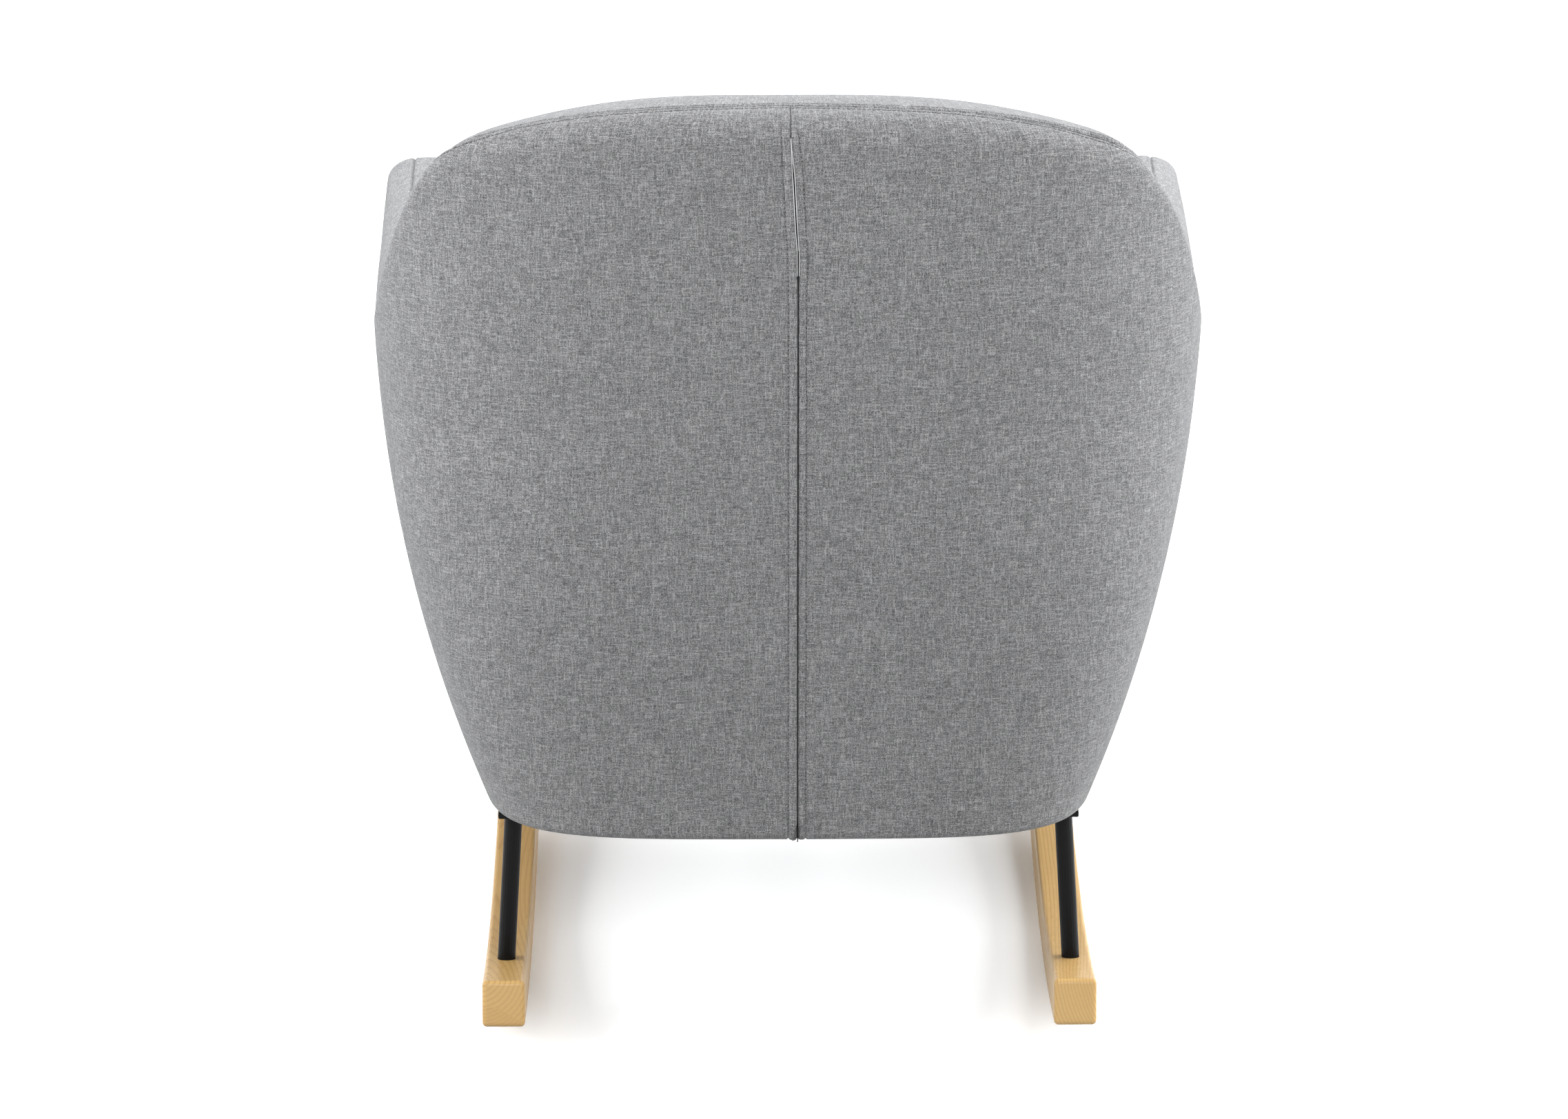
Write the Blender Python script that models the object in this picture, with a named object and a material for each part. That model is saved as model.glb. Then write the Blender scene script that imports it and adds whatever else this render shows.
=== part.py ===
"""Tub rocking chair: padded shell with a zipped cover, on tube legs and two wooden rockers.

Metres, +Z up. The chair faces -Y and its left and right are those of the -X and +X sides.
The origin is under the middle of the chair, on the floor.
"""
import math

import bmesh
import bpy
from mathutils import Matrix, Vector

# Driving dimensions -------------------------------------------------------------------------
GAP = 0.0003                 # between pieces that touch

BACK_HEIGHT = 0.889          # top of the back
ARM_HEIGHT = 0.684           # top of the arms, where they leave the back
ARM_DROP = 0.050             # how much lower the arms are at the front
SHELL_BOTTOM = 0.205         # underside of the upholstered shell
SHELL_DEPTH = 0.700          # shell, back to front
SHELL_HALF_WIDTH = 0.369     # at its widest, above the arms
SHELL_TAPER = 0.098          # how much narrower each side is at the bottom
TAPER_POWER = 2.1            # how late the taper sets in
WIDEST_HEIGHT = 0.700
ARM_FLARE = 0.018            # how far each arm leans out towards the front
REAR_TOP = 0.410             # back surface at BACK_HEIGHT
REAR_LEAN = 0.030            # how much further forward the back surface is at the bottom
REAR_BOW = 0.006             # bulge of the back between top and bottom
REAR_DEPTH_LOW = 0.190       # depth over which the back curves into the sides, at the bottom
REAR_DEPTH_HIGH = 0.200      # and at the top
CORNER_POWER_LOW = 4.4       # squareness of the rear corners at the bottom
CORNER_POWER_HIGH = 2.6      # and at the top
CORNER_CHANGE = 1.3          # the corners reach their upper shape this much sooner than the width
CROWN = 0.075                # fall of the rim from the middle of the back to its corners
CROWN_POWER = 3.2            # how late that fall sets in
SHOULDER_START = 0.045       # the rim falls from back to arm between these depths
SHOULDER_END = 0.180

WALL = 0.090                 # shell wall, outer cover to inner cover
LUMBAR = 0.060               # extra thickness of the back cushioning at seat height
LUMBAR_POWER = 0.7           # how fast it fades upwards
RIM_ROUND = 0.034            # height of the rounded rim
BACK_RIM_POWER = 3.0         # squareness of the rim's section on the back
ARM_RIM_POWER = 2.0          # and on the arms
CLOTH = 0.0015
OUTER_PAD = 0.0142           # foam behind the outer cover
FRAME_SPACE = 0.0254         # between outer and inner foam, where the steel frame stands

SLIT = 0.0022                # opening between the two back panels
ZIP_X = -0.0073              # the back seam is a little left of the middle
ZIP_BAY = 0.018              # width of the gap in the outer foam behind the zip
ZIP_CHAIN_WIDTH = 0.0040
ZIP_CHAIN_THICK = 0.0014
ZIP_TAPE_WIDTH = 0.0060
ZIP_TAPE_THICK = 0.0006
ZIP_DEPTH = 0.0058           # tape's back face, in from the zip's straight line
ZIP_START = 0.002            # zip's lower end, above the shell's underside
ZIP_LENGTH = 0.640           # of the tapes
CHAIN_LENGTH = 0.560         # the chain stops short of the tapes' upper ends
SLIDER_START = 0.004         # slider's lower end with the zip closed, likewise
SLIDER_LENGTH = 0.014
SLIDER_WIDTH = 0.0076
SLIDER_FACE = 0.0016         # thickness of the slider in front of the chain
PULL_THICK = 0.0010
PULL_LENGTH = 0.0145
PULL_HANG = 0.0025           # how far the pull hangs below the slider
PULL_OUT = 0.0030            # how far it stands out past the zip's straight line

ROCKER_SPACING = 0.511       # between rocker centre lines
ROCKER_WIDTH = 0.038
ROCKER_THICK = 0.042
ROCKER_RADIUS = 1.430        # of the curve that rolls on the floor
ROCKER_REAR = 0.404          # rear tip
ROCKER_FRONT = -0.400        # front tip
ROCKER_EDGE = 0.0040         # rounding of its edges
CONTACT_Y = 0.075            # where it touches the floor at rest
REST_FLAT = 0.050            # length of the flat it rests on

LEG_DIAMETER = 0.016
LEG_WALL = 0.0020
LEG_SPLAY = 0.058            # lean of a leg sideways and lengthways, as a slope
REAR_LEG_Y = 0.309           # where the legs enter the rockers
FRONT_LEG_Y = -0.262
LEG_SOCKET = 0.020           # depth of the leg's hole in the rocker
INSERT_LENGTH = 0.024
BOLT_THREAD = 0.018          # length of bolt inside the insert
BOLT_DIAMETER = 0.006
BOLT_HEAD = 0.0110
BOLT_HEAD_HIGH = 0.0040
BOLT_CHAMFER = 0.0010
COUNTERBORE = 0.0070         # depth of the bolt head's recess

RAIL_WIDTH = 0.026
RAIL_THICK = 0.006
RAIL_EDGE = 0.0015           # rounding of its edges
RAIL_OVERHANG = 0.010        # rail beyond the legs at each end
DUST_CLOTH = 0.0008
BASE_BOARD = 0.012
NUT_FLANGE = 0.0190          # captive nuts in the base board
NUT_BARREL = 0.0085
NUT_BARREL_HIGH = 0.0080
NUT_FLANGE_HIGH = 0.0015
RAIL_BOLT_INSET = 0.110      # rail bolts, in from the rail's ends

SEAT_RAIL_THICK = 0.018
SEAT_RAIL_HIGH = 0.078
SEAT_REAR_CLEAR = 0.012      # seat box to the back cushioning
SEAT_CORNER = 0.075          # the box stops this far short of the shell's round corners
STRAP_COUNT = 4
STRAP_WIDTH = 0.050
STRAP_THICK = 0.0022
STRAP_INSET = 0.085          # outermost strap, in from the side of the seat box
STRAP_TURN_DOWN = 0.030      # strap end folded down behind the seat box
DECK_CLEAR = 0.003
CUSHION_THICK = 0.140
CUSHION_CLEAR = 0.006        # round the cushion
CUSHION_SETBACK = 0.010      # cushion's front, behind the front of the shell
CUSHION_SECTION = (          # share of its thickness, and how far its edge is in at that level
    (0.0, 0.018), (0.07, 0.006), (0.21, 0.0), (0.57, 0.0),
    (0.82, 0.004), (0.95, 0.016), (1.0, 0.040),
)
APRON_PAD = 0.028

HOOP_DIAMETER = 0.012
HOOP_CLEAR = 0.006           # between a hoop and the rim foam
HOOP_FOOT = 0.25             # outline position of the back hoop's two uprights
ARM_HOOP_FRONT = 0.95        # outline position of an arm hoop's upright
ARM_HOOP_REAR = 0.36         # and of its rear end
BACK_STRAPS = 3
BACK_STRAP_LOW = 0.46        # height of the lowest one's middle
BACK_STRAP_HIGH = 0.74       # and of the highest one's
STRAP_SPREAD = 0.02          # back straps run this far past the hoop's uprights, as an outline step
BACK_STRAP_THICK = 0.0012

ARC_STATIONS = 24            # outline steps round the back
SIDE_STATIONS = 5            # outline steps along each side
WALL_ROWS = 7                # steps up the wall
RIM_STEPS = 8                # steps over the rim
ROCKER_STEPS = 15            # steps along a rocker, each side of its flat
EDGE_STEPS = 4               # steps round its rounded edges
HOOP_RISE_STEPS = 14         # up one upright of the back hoop
HOOP_TOP_STEPS = 24          # across its top
ARM_RISE_STEPS = 8
ARM_TOP_STEPS = 14
TUBE_SIDES = 20
BOLT_SIDES = 12
CUT_REACH = 0.010            # how far cutters run past what they cut

# Worked out from the above ------------------------------------------------------------------
SHELL_FRONT = REAR_TOP - SHELL_DEPTH
OUTER_PAD_IN = CLOTH + GAP
FRAME_OUT = OUTER_PAD_IN + OUTER_PAD + GAP
FRAME_IN = FRAME_OUT + FRAME_SPACE
INNER_PAD_OUT = FRAME_IN + GAP
INNER_PAD_IN = WALL - CLOTH - GAP
RAIL_TOP = SHELL_BOTTOM - GAP
RAIL_BOTTOM = RAIL_TOP - RAIL_THICK
BOARD_BOTTOM = SHELL_BOTTOM + DUST_CLOTH + GAP
BOARD_TOP = BOARD_BOTTOM + BASE_BOARD
FRAME_BOTTOM = BOARD_TOP + GAP
SEAT_BOX_TOP = FRAME_BOTTOM + SEAT_RAIL_HIGH
DECK_BOTTOM = SEAT_BOX_TOP + GAP + STRAP_THICK + GAP
DECK_TOP = DECK_BOTTOM + CLOTH
CUSHION_BOTTOM = DECK_TOP + GAP
SIDES = (("left", -1), ("right", 1))


# Scene and materials ------------------------------------------------------------------------
def clear_scene():
    for old in list(bpy.data.objects):
        bpy.data.objects.remove(old, do_unlink=True)


def material(name, colour, roughness, metallic=0.0):
    made = bpy.data.materials.get(name) or bpy.data.materials.new(name)
    made.use_nodes = True
    shader = made.node_tree.nodes["Principled BSDF"]
    shader.inputs["Base Color"].default_value = (*colour, 1.0)
    shader.inputs["Roughness"].default_value = roughness
    shader.inputs["Metallic"].default_value = metallic
    return made


def fabric():
    return material("cover_fabric", (0.30, 0.30, 0.31), 0.9)


def foam():
    return material("foam", (0.85, 0.80, 0.62), 0.95)


def beech():
    return material("beech", (0.62, 0.43, 0.22), 0.45)


def plywood():
    return material("plywood", (0.55, 0.42, 0.26), 0.7)


def black_steel():
    return material("black_steel", (0.012, 0.012, 0.012), 0.4, 0.0)


def bare_steel():
    return material("zinc_steel", (0.55, 0.55, 0.56), 0.35, 1.0)


def webbing():
    return material("webbing", (0.06, 0.06, 0.07), 0.85)


def lining():
    return material("lining", (0.03, 0.03, 0.03), 0.95)


def zip_cloth():
    return material("zip_tape", (0.78, 0.78, 0.78), 0.8)


# Mesh helpers -------------------------------------------------------------------------------
def finish(name, mesh_data, look, smooth_angle=None):
    """Turn a bmesh into a named object whose faces point out."""
    bmesh.ops.remove_doubles(mesh_data, verts=mesh_data.verts, dist=1e-7)
    bmesh.ops.recalc_face_normals(mesh_data, faces=mesh_data.faces)
    mesh = bpy.data.meshes.new(name)
    mesh_data.to_mesh(mesh)
    mesh_data.free()
    if smooth_angle is not None:
        mesh.shade_smooth()
        mesh.set_sharp_from_angle(angle=math.radians(smooth_angle))
    mesh.materials.append(look)
    made = bpy.data.objects.new(name, mesh)
    bpy.context.scene.collection.objects.link(made)
    return made


def loft(name, rings, look, smooth_angle=35, mirror_from=None):
    """Skin closed rings of equal length and cap both ends.

    Layers that lie on each other must fold along the same diagonals. A ring that runs out along
    one face and back along the other gives, in mirror_from, the step where it turns back.
    """
    work = bmesh.new()
    rows = [[work.verts.new(point) for point in ring] for ring in rings]
    count = len(rows[0])
    for low, high in zip(rows, rows[1:]):
        for i in range(count):
            j = (i + 1) % count
            corners = (low[i], low[j], high[j], high[i])
            if mirror_from is None:
                work.faces.new(corners)
            elif i < mirror_from:
                work.faces.new((corners[0], corners[1], corners[2]))
                work.faces.new((corners[0], corners[2], corners[3]))
            else:
                work.faces.new((corners[0], corners[1], corners[3]))
                work.faces.new((corners[1], corners[2], corners[3]))
    work.faces.new(rows[0])
    work.faces.new(rows[-1])
    return finish(name, work, look, smooth_angle)


def turned_ring(name, sections, look):
    """Hollow turned solid: sections are circles of points, and the last one joins the first."""
    work = bmesh.new()
    loops = [[work.verts.new(point) for point in ring] for ring in sections]
    count = len(sections[0])
    for near, far in zip(loops, loops[1:] + loops[:1]):
        for i in range(count):
            j = (i + 1) % count
            work.faces.new((near[i], near[j], far[j], far[i]))
    return finish(name, work, look, 40)


def set_origin(made, point):
    """Put an object's origin on its joint's axis and leave its mesh where it is."""
    made.data.transform(Matrix.Translation(-point))
    made.location = point


def box(name, low, high, look):
    corners = [(low[0], low[1]), (high[0], low[1]), (high[0], high[1]), (low[0], high[1])]
    rings = [[Vector((x, y, z)) for x, y in corners] for z in (low[2], high[2])]
    return loft(name, rings, look, None)


def circle(centre, direction, radius, sides):
    """Points of a circle square to a direction."""
    direction = direction.normalized()
    across = direction.cross(Vector((0, 1, 0))).normalized()
    along = direction.cross(across)
    turns = [2 * math.pi * i / sides for i in range(sides)]
    return [centre + radius * (math.cos(t) * across + math.sin(t) * along) for t in turns]


def rod(name, start, end, profile, look, sides=16):
    """Turned solid between two points; profile is (distance along, radius) pairs."""
    axis = (end - start).normalized()
    rings = [circle(start + axis * along, axis, radius, sides) for along, radius in profile]
    return loft(name, rings, look)


def subtract(body, cutters):
    for cutter in cutters:
        cutter.hide_render = True
        cutter.display_type = "WIRE"
        cut = body.modifiers.new("cut_" + cutter.name, "BOOLEAN")
        cut.operation = "DIFFERENCE"
        cut.solver = "EXACT"
        cut.object = cutter


def tube_along(name, points, diameter, look, sides_level=2):
    """Bent round bar through the points, with closed ends."""
    curve = bpy.data.curves.new(name, "CURVE")
    curve.dimensions = "3D"
    spline = curve.splines.new("POLY")
    spline.points.add(len(points) - 1)
    for slot, point in zip(spline.points, points):
        slot.co = (*point, 1.0)
    curve.bevel_depth = diameter / 2
    curve.bevel_resolution = sides_level
    curve.use_fill_caps = True
    curve.materials.append(look)
    made = bpy.data.objects.new(name, curve)
    bpy.context.scene.collection.objects.link(made)
    return made


# Shape of the shell -------------------------------------------------------------------------
def blend(low, high, amount):
    amount = min(max(amount, 0.0), 1.0)
    return low + (high - low) * amount


def height_share(z):
    """0 at the shell's bottom, 1 at the height where it is widest."""
    return min(max((z - SHELL_BOTTOM) / (WIDEST_HEIGHT - SHELL_BOTTOM), 0.0), 1.0)


def half_width(z):
    return SHELL_HALF_WIDTH - SHELL_TAPER * (1 - height_share(z)) ** TAPER_POWER


def rear_y(z):
    """Back surface on the middle plane."""
    share = (z - SHELL_BOTTOM) / (BACK_HEIGHT - SHELL_BOTTOM)
    return REAR_TOP - REAR_LEAN * (1 - share) + REAR_BOW * math.sin(math.pi * share)


def rear_depth(z):
    """Depth over which the outline curves from the back into the sides."""
    return blend(REAR_DEPTH_LOW, REAR_DEPTH_HIGH, height_share(z) * CORNER_CHANGE)


def outline_power(z):
    return blend(CORNER_POWER_LOW, CORNER_POWER_HIGH, height_share(z) * CORNER_CHANGE)


def lumbar(z, inset):
    """Extra depth of the back cushioning; only the inner layers have it."""
    if inset <= INNER_PAD_OUT:
        return 0.0
    fade = 1 - height_share(z)
    share = min((inset - INNER_PAD_OUT) / (WALL - INNER_PAD_OUT), 1.0)
    return LUMBAR * fade ** LUMBAR_POWER * share if fade > 0 else 0.0


def stations(start=-1.0, end=1.0):
    """Outline positions between two others.

    -1..-0.5 is the left side from front to back, -0.5..0.5 the back, 0.5..1 the right side.
    """
    marks = [-1 + 0.5 * i / SIDE_STATIONS for i in range(SIDE_STATIONS)]
    marks += [-0.5 + i / ARC_STATIONS for i in range(ARC_STATIONS + 1)]
    marks += [0.5 + 0.5 * (i + 1) / SIDE_STATIONS for i in range(SIDE_STATIONS)]
    inside = [m for m in marks if start + 1e-6 < m < end - 1e-6]
    return [start] + inside + [end]


def shell_point(mark, z, inset):
    """Point of the shell at an outline position, a height and a depth into its wall."""
    width = half_width(z) - inset
    depth = rear_depth(z)
    middle = rear_y(z) - depth - lumbar(z, inset)
    reach = depth - inset
    if abs(mark) <= 0.5:
        turn = math.pi * mark
        power = 2 / outline_power(z)
        x = math.copysign(abs(math.sin(turn)) ** power, mark) * width
        y = middle + abs(math.cos(turn)) ** power * reach
        return Vector((x, y, z))
    share = (abs(mark) - 0.5) / 0.5
    flare = ARM_FLARE * share * height_share(z) ** 2
    x = math.copysign(width + flare, mark)
    return Vector((x, blend(middle, SHELL_FRONT, share), z))


def rim_height(mark):
    """Height of the rim: high round the back, falling over the shoulders to the arms."""
    behind = rear_y(WIDEST_HEIGHT) - shell_point(mark, WIDEST_HEIGHT, 0.0).y
    front_share = min(max(behind / SHELL_DEPTH, 0.0), 1.0)
    arm = ARM_HEIGHT - ARM_DROP * front_share
    reach = min(abs(shell_point(mark, WIDEST_HEIGHT, 0.0).x) / SHELL_HALF_WIDTH, 1.0)
    run = (behind - SHOULDER_START) / (SHOULDER_END - SHOULDER_START)
    run = min(max(run, 0.0), 1.0)
    fall = 0.5 * (1 - math.cos(math.pi * run))
    return blend(BACK_HEIGHT - CROWN * reach ** CROWN_POWER, arm, fall)


def rim_power(mark):
    """The rim's section is boxier on the back than on the arms."""
    share = (rim_height(mark) - ARM_HEIGHT) / (BACK_HEIGHT - ARM_HEIGHT)
    return blend(ARM_RIM_POWER, BACK_RIM_POWER, share)


def rim_arch(mark, inset, steps, start=0.0, end=1.0):
    """Points over the rim, outer side to inner side, at a depth below its surface."""
    base = rim_height(mark) - RIM_ROUND
    half = WALL / 2 - inset
    power = 2 / rim_power(mark)
    points = []
    for i in range(steps + 1):
        turn = math.pi * (start + (end - start) * i / steps)
        across = math.copysign(abs(math.cos(turn)) ** power, math.cos(turn))
        up = abs(math.sin(turn)) ** power * (RIM_ROUND - inset)
        points.append(shell_point(mark, base + up, WALL / 2 - half * across))
    return points


def wall_heights(mark, low, top_gap):
    top = rim_height(mark) - RIM_ROUND - top_gap
    return [low + (top - low) * i / WALL_ROWS for i in range(WALL_ROWS + 1)]


def wall_ring(mark, outer, inner, low, top_gap):
    """Section of one layer of the wall."""
    heights = wall_heights(mark, low, top_gap)
    outside = [shell_point(mark, z, outer) for z in heights]
    inside = [shell_point(mark, z, inner) for z in reversed(heights)]
    return outside + inside


def mark_at_x(x, z, inset):
    """Outline position on the back where the wall stands at a given x."""
    low, high = 0.0, 0.5
    for _ in range(60):
        middle = (low + high) / 2
        if abs(shell_point(middle, z, inset).x) < abs(x):
            low = middle
        else:
            high = middle
    return math.copysign(low, x)


def seam_edge_ring(edge_x, outer, inner, low, top_gap):
    """Section of a wall layer cut off square at a given x beside the back seam."""
    base_mark = mark_at_x(edge_x, WIDEST_HEIGHT, outer)
    ring = []
    heights = wall_heights(base_mark, low, top_gap)
    for depth, rows in ((outer, heights), (inner, list(reversed(heights)))):
        for z in rows:
            point = shell_point(mark_at_x(edge_x, z, depth), z, depth)
            ring.append(Vector((edge_x, point.y, z)))
    return ring


def marks_beyond(edge_x, side):
    """Outline positions from the back seam outwards to one arm's front."""
    start = mark_at_x(edge_x, WIDEST_HEIGHT, 0.0)
    marks = [m for m in stations() if side * (m - start) > 0.5 / ARC_STATIONS]
    return sorted(marks, key=lambda m: side * m)


# Base ---------------------------------------------------------------------------------------
def rocker_height(y, depth):
    """Height of the rocker's curve, at a depth above its rolling surface."""
    lift = ROCKER_RADIUS * math.cos(REST_FLAT / 2 / ROCKER_RADIUS)
    return lift - math.sqrt((ROCKER_RADIUS - depth) ** 2 - (y - CONTACT_Y) ** 2)


def leg_axis(side, end_y):
    """Point where a leg's axis meets the rocker's top, and its upward direction."""
    x = side * ROCKER_SPACING / 2
    foot = Vector((x, end_y, rocker_height(end_y, ROCKER_THICK)))
    inward = -1 if end_y > 0 else 1
    return foot, Vector((-side * LEG_SPLAY, inward * LEG_SPLAY, 1.0)).normalized()


def rocker_section(angle, shrink):
    """Rounded square across the rocker at an angle round its curve."""
    lift = ROCKER_RADIUS * math.cos(REST_FLAT / 2 / ROCKER_RADIUS)
    half = ROCKER_WIDTH / 2
    edge = ROCKER_EDGE
    corners = ((-1, 0), (1, 0), (1, 1), (-1, 1))
    starts = (180, 270, 0, 90)
    ring = []
    for (sx, sz), start in zip(corners, starts):
        cx = sx * (half - edge)
        cz = (ROCKER_THICK - edge) if sz else edge
        for step in range(EDGE_STEPS + 1):
            turn = math.radians(start + 90 * step / EDGE_STEPS)
            x = cx + (edge - shrink) * math.cos(turn)
            rise = cz + (edge - shrink) * math.sin(turn)
            radius = ROCKER_RADIUS - rise
            y = CONTACT_Y + radius * math.sin(angle)
            ring.append(Vector((x, y, lift - radius * math.cos(angle))))
    return ring


def rocker_angles():
    """Angles of the sections; the middle pair bounds the flat that it rests on."""
    flat = REST_FLAT / 2 / ROCKER_RADIUS
    rear = math.asin((ROCKER_REAR - CONTACT_Y) / (ROCKER_RADIUS - ROCKER_THICK))
    front = math.asin((CONTACT_Y - ROCKER_FRONT) / (ROCKER_RADIUS - ROCKER_THICK))
    steps = ROCKER_STEPS
    ahead = [-front + (front - flat) * i / steps for i in range(steps + 1)]
    behind = [flat + (rear - flat) * i / steps for i in range(steps + 1)]
    return ahead + behind


def rocker_rings(side):
    angles = rocker_angles()
    turn = ROCKER_EDGE / ROCKER_RADIUS
    bends = [math.radians(90 * k / EDGE_STEPS) for k in range(EDGE_STEPS + 1)]
    rounding = [(turn * (1 - math.sin(b)), ROCKER_EDGE * (1 - math.cos(b))) for b in bends]
    nose = [(angles[0] + back, shrink) for back, shrink in reversed(rounding)]
    tail = [(angles[-1] - back, shrink) for back, shrink in rounding]
    sections = nose + [(a, 0.0) for a in angles[1:-1]] + tail
    shift = Vector((side * ROCKER_SPACING / 2, 0, 0))
    return [[point + shift for point in rocker_section(a, shrink)] for a, shrink in sections]


def rocker_cutters(label, side, end, end_y):
    """Leg socket, bolt hole and recess for the bolt's head, all along the leg's axis."""
    foot, up = leg_axis(side, end_y)
    tag = "cut_" + end + "_" + label
    socket = foot - up * LEG_SOCKET
    under = foot - up * (ROCKER_THICK + CUT_REACH)
    above = foot + up * CUT_REACH
    recess = foot - up * (ROCKER_THICK - COUNTERBORE)
    wanted = (("_socket", socket, above, LEG_DIAMETER / 2 + GAP, TUBE_SIDES),
              ("_hole", under, socket + up * GAP, BOLT_DIAMETER / 2 + GAP, BOLT_SIDES),
              ("_recess", under, recess, BOLT_HEAD / 2 + 2 * GAP, BOLT_SIDES))
    made = []
    for suffix, start, stop, radius, sides in wanted:
        profile = ((0, radius), ((stop - start).length, radius))
        made.append(rod(tag + suffix, start, stop, profile, beech(), sides))
    return made


def make_rocker(label, side):
    rocker = loft("rocker_" + label, rocker_rings(side), beech())
    cutters = rocker_cutters(label, side, "rear", REAR_LEG_Y)
    cutters += rocker_cutters(label, side, "front", FRONT_LEG_Y)
    subtract(rocker, cutters)


def make_leg(label, side, end, end_y):
    """Steel tube: its foot is square to its axis, its top is cut level under the rail."""
    foot, up = leg_axis(side, end_y)
    start = foot - up * (LEG_SOCKET - GAP)
    outer = circle(start, up, LEG_DIAMETER / 2, TUBE_SIDES)
    inner = circle(start, up, LEG_DIAMETER / 2 - LEG_WALL, TUBE_SIDES)
    top = RAIL_BOTTOM - GAP
    outer_top, inner_top = [[p + up * ((top - p.z) / up.z) for p in ring] for ring in (outer, inner)]
    turned_ring("leg_" + end + "_" + label, (outer, outer_top, inner_top, inner), black_steel())


def make_bolt(name, head, up, length, look):
    """Bolt with its head at the lower end; the length is that of the shank."""
    wide = BOLT_HEAD / 2
    thin = BOLT_DIAMETER / 2
    profile = ((0, wide - BOLT_CHAMFER), (BOLT_CHAMFER, wide), (BOLT_HEAD_HIGH, wide),
               (BOLT_HEAD_HIGH, thin), (BOLT_HEAD_HIGH + length, thin))
    return rod(name, head, head + up, profile, look, BOLT_SIDES)


def make_leg_fixing(label, side, end, end_y):
    """Threaded insert in the leg's foot and the bolt that holds it to the rocker."""
    foot, up = leg_axis(side, end_y)
    base = foot - up * (LEG_SOCKET - GAP)
    radius = LEG_DIAMETER / 2 - LEG_WALL - GAP
    bore = BOLT_DIAMETER / 2 + GAP
    profile = ((0, radius), (INSERT_LENGTH, radius), (INSERT_LENGTH, bore), (0, bore))
    sections = [circle(base + up * along, up, size, BOLT_SIDES) for along, size in profile]
    turned_ring("leg_insert_" + end + "_" + label, sections, bare_steel())
    head = foot - up * (ROCKER_THICK - COUNTERBORE + GAP + BOLT_HEAD_HIGH)
    length = ROCKER_THICK - COUNTERBORE - LEG_SOCKET + BOLT_THREAD
    make_bolt("rocker_bolt_" + end + "_" + label, head, up, length, bare_steel())


def rail_ends():
    """Ends of the side rails, beyond the legs' tops."""
    ends = []
    for end_y in (FRONT_LEG_Y, REAR_LEG_Y):
        foot, up = leg_axis(1, end_y)
        top = foot + up * ((RAIL_BOTTOM - foot.z) / up.z)
        ends.append(top)
    return ends[0].y - RAIL_OVERHANG, ends[1].y + RAIL_OVERHANG, (ends[0].x + ends[1].x) / 2


def rail_bolt_places(side):
    front, rear, x = rail_ends()
    return [("front", Vector((side * x, front + RAIL_BOLT_INSET, 0))),
            ("rear", Vector((side * x, rear - RAIL_BOLT_INSET, 0)))]


def upright_cutter(name, place, radius, low, high):
    start = Vector((place.x, place.y, low))
    end = Vector((place.x, place.y, high))
    return rod(name, start, end, ((0, radius), (high - low, radius)), bare_steel(), BOLT_SIDES)


def make_rail(label, side):
    front, rear, x = rail_ends()
    low = (side * x - RAIL_WIDTH / 2, front, RAIL_BOTTOM)
    high = (side * x + RAIL_WIDTH / 2, rear, RAIL_TOP)
    rail = box("side_rail_" + label, low, high, black_steel())
    edge = rail.modifiers.new("round_edges", "BEVEL")
    edge.width = RAIL_EDGE
    edge.segments = 2
    cutters = [upright_cutter("cut_rail_" + end + "_" + label, place, BOLT_DIAMETER / 2 + GAP,
                              RAIL_BOTTOM - CUT_REACH, RAIL_TOP + CUT_REACH)
               for end, place in rail_bolt_places(side)]
    subtract(rail, cutters)


def make_tee_nut(name, place):
    """Captive nut, its flange flush with the top of the base board."""
    bore = BOLT_DIAMETER / 2 + GAP
    barrel = NUT_BARREL / 2
    barrel_low = BOARD_TOP - NUT_BARREL_HIGH
    flange = NUT_FLANGE / 2
    flange_low = BOARD_TOP - NUT_FLANGE_HIGH
    profile = ((barrel_low, bore), (barrel_low, barrel), (flange_low, barrel),
               (flange_low, flange), (BOARD_TOP, flange), (BOARD_TOP, bore))
    up = Vector((0, 0, 1))
    sections = [circle(Vector((place.x, place.y, z)), up, r, BOLT_SIDES) for z, r in profile]
    turned_ring(name, sections, bare_steel())


def make_rail_fixing(label, side):
    """Bolt up through the rail and the captive nut in the base board."""
    up = Vector((0, 0, 1))
    low = RAIL_BOTTOM - GAP - BOLT_HEAD_HIGH
    length = BOARD_TOP - BOLT_CHAMFER - RAIL_BOTTOM + GAP
    for end, place in rail_bolt_places(side):
        head = Vector((place.x, place.y, low))
        make_bolt("rail_bolt_" + end + "_" + label, head, up, length, black_steel())
        make_tee_nut("tee_nut_" + end + "_" + label, place)


# Shell --------------------------------------------------------------------------------------
def level_outline(z, inset, front):
    """Outline of the shell at one height, closed by a straight front edge."""
    points = [shell_point(mark, z, inset) for mark in stations()]
    points = [p for p in points if p.y > front + 0.001]
    first, last = points[0], points[-1]
    return [Vector((first.x, front, z))] + points + [Vector((last.x, front, z))]


def plate(name, low, high, inset, front, look):
    outline = level_outline(low, inset, front)
    top = [Vector((p.x, p.y, high)) for p in outline]
    return loft(name, [outline, top], look, None)


def seat_front():
    """Front of the boards behind the apron's padding."""
    return SHELL_FRONT + APRON_PAD + CLOTH + 3 * GAP


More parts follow.
